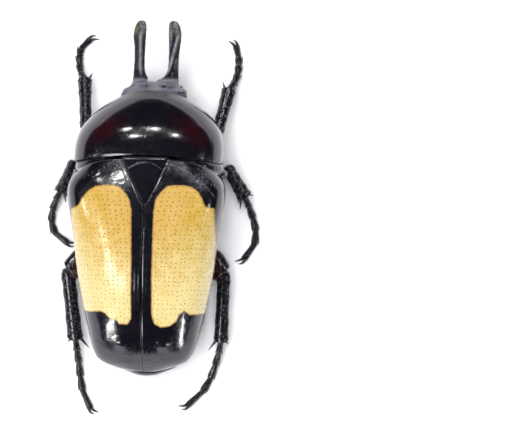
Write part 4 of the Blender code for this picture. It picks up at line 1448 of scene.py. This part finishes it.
class BEETLE_OT_feet(bpy.types.Operator):
    """Make the six feet of five segments each"""
    bl_idname = "beetle.feet"
    bl_label = "Feet"

    def execute(self, context):
        for leg in LEGS:
            joints = foot_joints(leg)
            bm = new_form()
            for k, (start, end) in enumerate(zip(joints, joints[1:])):
                along = (end - start).normalized()
                across = level_across(along)
                rows = []
                for half, parts in ((TARSUS_NECK, NECK_ROWS), (TARSUS_HALF[k], SEGMENT_ROWS)):
                    rows += [(*start.lerp(end, share), half * width,
                              min(half * width, TARSUS_DEPTH)) for share, width in parts]
                limb(bm, rows, sides=18, rings=18, near=0.10, far=0.08)
                if k < 4:
                    for way in (-1, 1):
                        for lift in (-0.08, 0.10):
                            root = start.lerp(end, 0.86) + across * way * 0.22 + UP * lift
                            tip = root + along * 0.22 + across * way * 0.11 + UP * lift * 0.5
                            thorn(bm, root, tip, 0.06, blunt=0.15)
            keep_in_box(bm)
            mark(bm, "Coarse", 0.7)
            finish("foot_" + leg, bm, pick("pitted_foot"), ["tarsus_" + leg])
        return {"FINISHED"}


class BEETLE_OT_claws(bpy.types.Operator):
    """Make the pair of claws at the end of each foot"""
    bl_idname = "beetle.claws"
    bl_label = "Claws"

    def execute(self, context):
        sizes = context.scene.beetle_sizes
        reach, half = sizes.claw_length / MM, sizes.claw_half / MM
        for leg in LEGS:
            start, end = foot_joints(leg)[-2:]
            along = (end - start).normalized()
            across = level_across(along)
            if across.x * (-1 if leg.endswith("_r") else 1) < 0:
                across = -across
            bm = new_form()
            for way in (-1, 1):
                rows = []
                for k in range(6):
                    share = k / 5
                    turn = way * (0.10 + 0.11 * math.sin(share * 1.7)) + 0.32 * share ** 2
                    drop = 0.05 + 0.16 * math.sin(math.pi * min(1, share * 1.1)) - 0.06 * share
                    spot = end + along * (reach * share - 0.14) + across * turn + UP * (drop - 0.05)
                    wide = half * (1 - 0.8 * share ** 1.5)
                    rows.append((*spot, wide, wide))
                limb(bm, rows, sides=12, rings=20, near=0.1, far=0.1)
            keep_in_box(bm)
            mark(bm, "Coarse", 0.1)
            finish("claws_" + leg, bm, pick("claw_black"), ["tarsus_" + leg])
        return {"FINISHED"}


class BEETLE_OT_hairs(bpy.types.Operator):
    """Make the short stiff hairs on the shins, the feet and the hind body's right side"""
    bl_idname = "beetle.hairs"
    bl_label = "Hairs"

    def execute(self, context):
        sizes = context.scene.beetle_sizes
        long, half = sizes.hair_length / MM, sizes.hair_half / MM
        chance = random.Random(11)
        low, high = ((corner[0] - ORIGIN.x) / MM for corner in CAD_BOX)
        bm = new_form()

        def hair(root, tip, thick, sides=4):
            if low < tip.x < high:
                thorn(bm, root, tip, thick, sides)

        for leg in LEGS:
            knee, ankle, along, outward = shin_frame(leg)
            for k in range(SHIN_HAIRS):
                share = 0.10 + 0.86 * (k + chance.random()) / SHIN_HAIRS
                way = 1 if k % 2 else -1
                edge = shin_half(leg, share) * 0.84
                root = knee.lerp(ankle, share) + outward * way * edge * 0.9
                root += UP * chance.uniform(-0.12, 0.16)
                lean = (outward * way * chance.uniform(0.5, 0.9) + along
                        + UP * chance.uniform(-0.4, 0.3)).normalized()
                hair(root, root + lean * long * chance.uniform(0.6, 1.1), half)
            joints = foot_joints(leg)
            for start, end in zip(joints, joints[1:]):
                way_on = (end - start).normalized()
                across = level_across(way_on)
                for k in range(FOOT_HAIRS):
                    way = 1 if k % 2 else -1
                    root = start.lerp(end, 0.3 + 0.6 * k / FOOT_HAIRS) + across * way * 0.15
                    tip = root + (way_on + across * way * 0.7).normalized() * long * 0.7
                    root.z, tip.z = max(root.z, 0.06), max(tip.z, 0.04)
                    hair(root, tip, half * 0.9)
        for side in (-1, 1):
            first, last = BELLY_ROWS[0][0], BELLY_ROWS[-1][0]
            for k in range(BELLY_HAIRS):
                y = -11.9 + 8.2 * (k + chance.random()) / BELLY_HAIRS
                at = clamp((first - y) / (first - last)) * (len(BELLY_ROWS) - 1)
                station, _, lower, ledge, _, _ = spline(BELLY_ROWS, at)
                root = Vector((side * lower * 0.985, station, ledge - chance.uniform(0.1, 0.6)))
                lean = Vector((side * 0.8, -0.7, chance.uniform(-0.4, 0.1))).normalized()
                tip = root + lean * chance.uniform(0.25, 0.5)
                if side == HAIRY_SIDE:
                    hair(root, tip, half * 0.8, 3)
        finish("hairs", bm, pick("bristle"), (), sharp=180)
        return {"FINISHED"}


# Camera: straight down, the beetle left of the middle and turned 1.25 degrees in the picture
VIEW_TURN = math.radians(1.25)
VIEW_SIDE = math.radians(2.5)
VIEW_AIM = 8.948
VIEW_HEIGHT = 4.5
VIEW_FAR = 128.0
VIEW_WIDTH = 41.6
SENSOR = 36.0
# Lamps that show as highlights. Each reaches from one direction to another, both given as a
# bearing from +X and a tilt from overhead; then its width, all in degrees, and its radiance.
LAMPS = {
    "lamp_spot_left": ((126, 22), (126, 22), 4.6, 45.0),
    "lamp_spot_middle": ((94, 34), (94, 34), 4.6, 45.0),
    "lamp_spot_right": ((57, 28), (57, 28), 4.6, 45.0),
    "lamp_glow_left": ((126, 22), (94, 33), 13.0, 0.35),
    "lamp_glow_right": ((57, 28), (94, 33), 13.0, 0.35),
    "lamp_strip_left": ((-156, 36), (-130, 33), 15.0, 8.5),
    "lamp_dot_left": ((-173, 52), (-173, 52), 6.0, 20.0),
    "lamp_dot_right": ((-11, 56), (-11, 56), 6.0, 14.0),
    "lamp_shoulder_left": ((121, 39), (121, 39), 5.0, 35.0),
    "lamp_rear_left": ((-120, 58), (-129, 71), 5.0, 22.0),
    "lamp_rear_right": ((-47, 66), (-61, 78), 4.0, 22.0),
}
LAMP_FAR = 420.0
BEETLE_MIDDLE = Vector((0, 6, 7))
# A broad light overhead that gives no highlight
SOFT_SIZE = 170.0
SOFT_FAR = 230.0
SOFT_POWER = 0.56
# Studio walls: brightness near the floor and overhead, and the heights between which it falls
WALL_LOW = 1.7
WALL_HIGH = 0.02
WALL_FADE = (0.05, 0.19)
WALL_COLOUR = (0.88, 0.86, 1.0, 1.0)
# A dark card stands to the right: its bearing and tilt as for a lamp, the cosines between which
# it fades in, and how much of the wall's light it leaves
CARD_TOWARDS = (-10, 90)
CARD_FADE = (0.82, 0.95)
CARD_SHADE = 0.15


def in_view_frame(x, y, z):
    """A point given along the picture's own right and up, in the row frame, in metres."""
    turned = Matrix.Rotation(VIEW_TURN, 4, "Z") @ Vector((x, y, z))
    return turned * MM + ORIGIN


def direction(bearing, tilt):
    a, t = math.radians(bearing), math.radians(tilt)
    return Vector((math.cos(a) * math.sin(t), math.sin(a) * math.sin(t), math.cos(t)))


def lamp_power(size, radiance):
    """Power of an oval lamp of this size in mm that shows with this radiance."""
    return radiance * math.pi * math.pi / 4 * size[0] * MM * size[1] * MM


def hang_lamp(name, spot, along, size, power):
    """An oval lamp at a spot in mm round the beetle's middle, facing it, with one long side."""
    back = spot.normalized()
    across = along.cross(back).normalized()
    turn = Matrix((across, back.cross(across), back)).transposed().to_4x4()
    lamp = bpy.data.lights.new(name, "AREA")
    lamp.shape = "ELLIPSE"
    lamp.size, lamp.size_y = size[0] * MM, size[1] * MM
    lamp.energy = power
    return put(name, lamp, Matrix.Translation(ORIGIN + (BEETLE_MIDDLE + spot) * MM) @ turn)


class BEETLE_OT_stage(bpy.types.Operator):
    """Make the pale floor, the studio light and the camera"""
    bl_idname = "beetle.stage"
    bl_label = "Stage"

    def execute(self, context):
        scene = context.scene
        self.floor(scene.beetle_colours)
        self.walls(scene)
        for name, (start, end, width, radiance) in LAMPS.items():
            first, last = direction(*start) * LAMP_FAR, direction(*end) * LAMP_FAR
            along = last - first if start != end else first.cross(UP)
            wide = LAMP_FAR * math.radians(width)
            size = (wide, wide + (last - first).length)
            hang_lamp(name, (first + last) / 2, along, size, lamp_power(size, radiance))
        soft = hang_lamp("lamp_soft", UP * SOFT_FAR, Vector((0, 1, 0)), (SOFT_SIZE, SOFT_SIZE),
                         SOFT_POWER)
        soft.visible_glossy = False
        camera = bpy.data.cameras.new("camera")
        camera.sensor_width = SENSOR
        camera.lens = SENSOR * VIEW_FAR / VIEW_WIDTH
        camera.clip_start = 0.005
        camera.clip_end = 5.0
        eye_x = VIEW_AIM + VIEW_FAR * math.sin(VIEW_SIDE)
        eye_z = VIEW_HEIGHT + VIEW_FAR * math.cos(VIEW_SIDE)
        turn = Matrix.Rotation(VIEW_TURN, 4, "Z") @ Matrix.Rotation(VIEW_SIDE, 4, "Y")
        scene.camera = put(
            "camera", camera, Matrix.Translation(in_view_frame(eye_x, 0, eye_z)) @ turn)
        scene.view_settings.view_transform = "Standard"
        return {"FINISHED"}

    def floor(self, colours):
        bm = new_form()
        bmesh.ops.create_grid(bm, x_segments=4, y_segments=4, size=0.5, calc_uvs=True)
        f = new_finish("floor_card")
        ground = f.blend(f.cloud(f.place(), 0.05, 2.0), colours.floor,
                         tinted(colours.floor, 0.985, 0.985, 0.985))
        as_object(bm, "floor", f.surface(ground, 0.7, None, ior=1.4))

    def walls(self, scene):
        """Bright walls low down all round, dark overhead where the camera looks down."""
        wall = Wiring(bpy.data.worlds.new("studio"))
        where = wall.node("ShaderNodeTexCoord").outputs["Generated"]
        height = wall.node("ShaderNodeSeparateXYZ", {0: where}).outputs[2]
        towards = wall.node("ShaderNodeVectorMath", {0: where, 1: direction(*CARD_TOWARDS)},
                            operation="DOT_PRODUCT").outputs["Value"]
        light = wall.sum("MULTIPLY", wall.span(height, *WALL_FADE, WALL_LOW, WALL_HIGH),
                         wall.span(towards, *CARD_FADE, 1.0, CARD_SHADE))
        background = wall.tree.nodes["Background"]
        wall.feed(background, "Strength", light)
        wall.feed(background, "Color", WALL_COLOUR)
        scene.world = wall.owner


STEPS = (
    BEETLE_OT_wing_cases,
    BEETLE_OT_neck_shield,
    BEETLE_OT_scutellum,
    BEETLE_OT_head,
    BEETLE_OT_eyes,
    BEETLE_OT_horns,
    BEETLE_OT_feelers,
    BEETLE_OT_trunk,
    BEETLE_OT_hind_body,
    BEETLE_OT_thighs,
    BEETLE_OT_shins,
    BEETLE_OT_feet,
    BEETLE_OT_claws,
    BEETLE_OT_hairs,
    BEETLE_OT_stage,
)


class BEETLE_PT_parts(bpy.types.Panel):
    """Sizes, colours and the steps that make the beetle"""
    bl_idname = "BEETLE_PT_parts"
    bl_label = "Horned flower beetle"
    bl_space_type = "VIEW_3D"
    bl_region_type = "UI"
    bl_category = "Beetle"

    def draw(self, context):
        for group in (context.scene.beetle_sizes, context.scene.beetle_colours):
            box = self.layout.box()
            for name in group.__annotations__:
                box.prop(group, name)
        for step in STEPS:
            self.layout.operator(step.bl_idname)


CLASSES = (BeetleSizes, BeetleColours, *STEPS, BEETLE_PT_parts)


def register():
    for item in CLASSES:
        bpy.utils.register_class(item)
    bpy.types.Scene.beetle_sizes = bpy.props.PointerProperty(type=BeetleSizes)
    bpy.types.Scene.beetle_colours = bpy.props.PointerProperty(type=BeetleColours)


def unregister():
    del bpy.types.Scene.beetle_colours
    del bpy.types.Scene.beetle_sizes
    for item in reversed(CLASSES):
        bpy.utils.unregister_class(item)


def main():
    register()
    for step in STEPS:
        group, name = step.bl_idname.split(".")
        getattr(getattr(bpy.ops, group), name)()


if __name__ == "__main__":
    main()
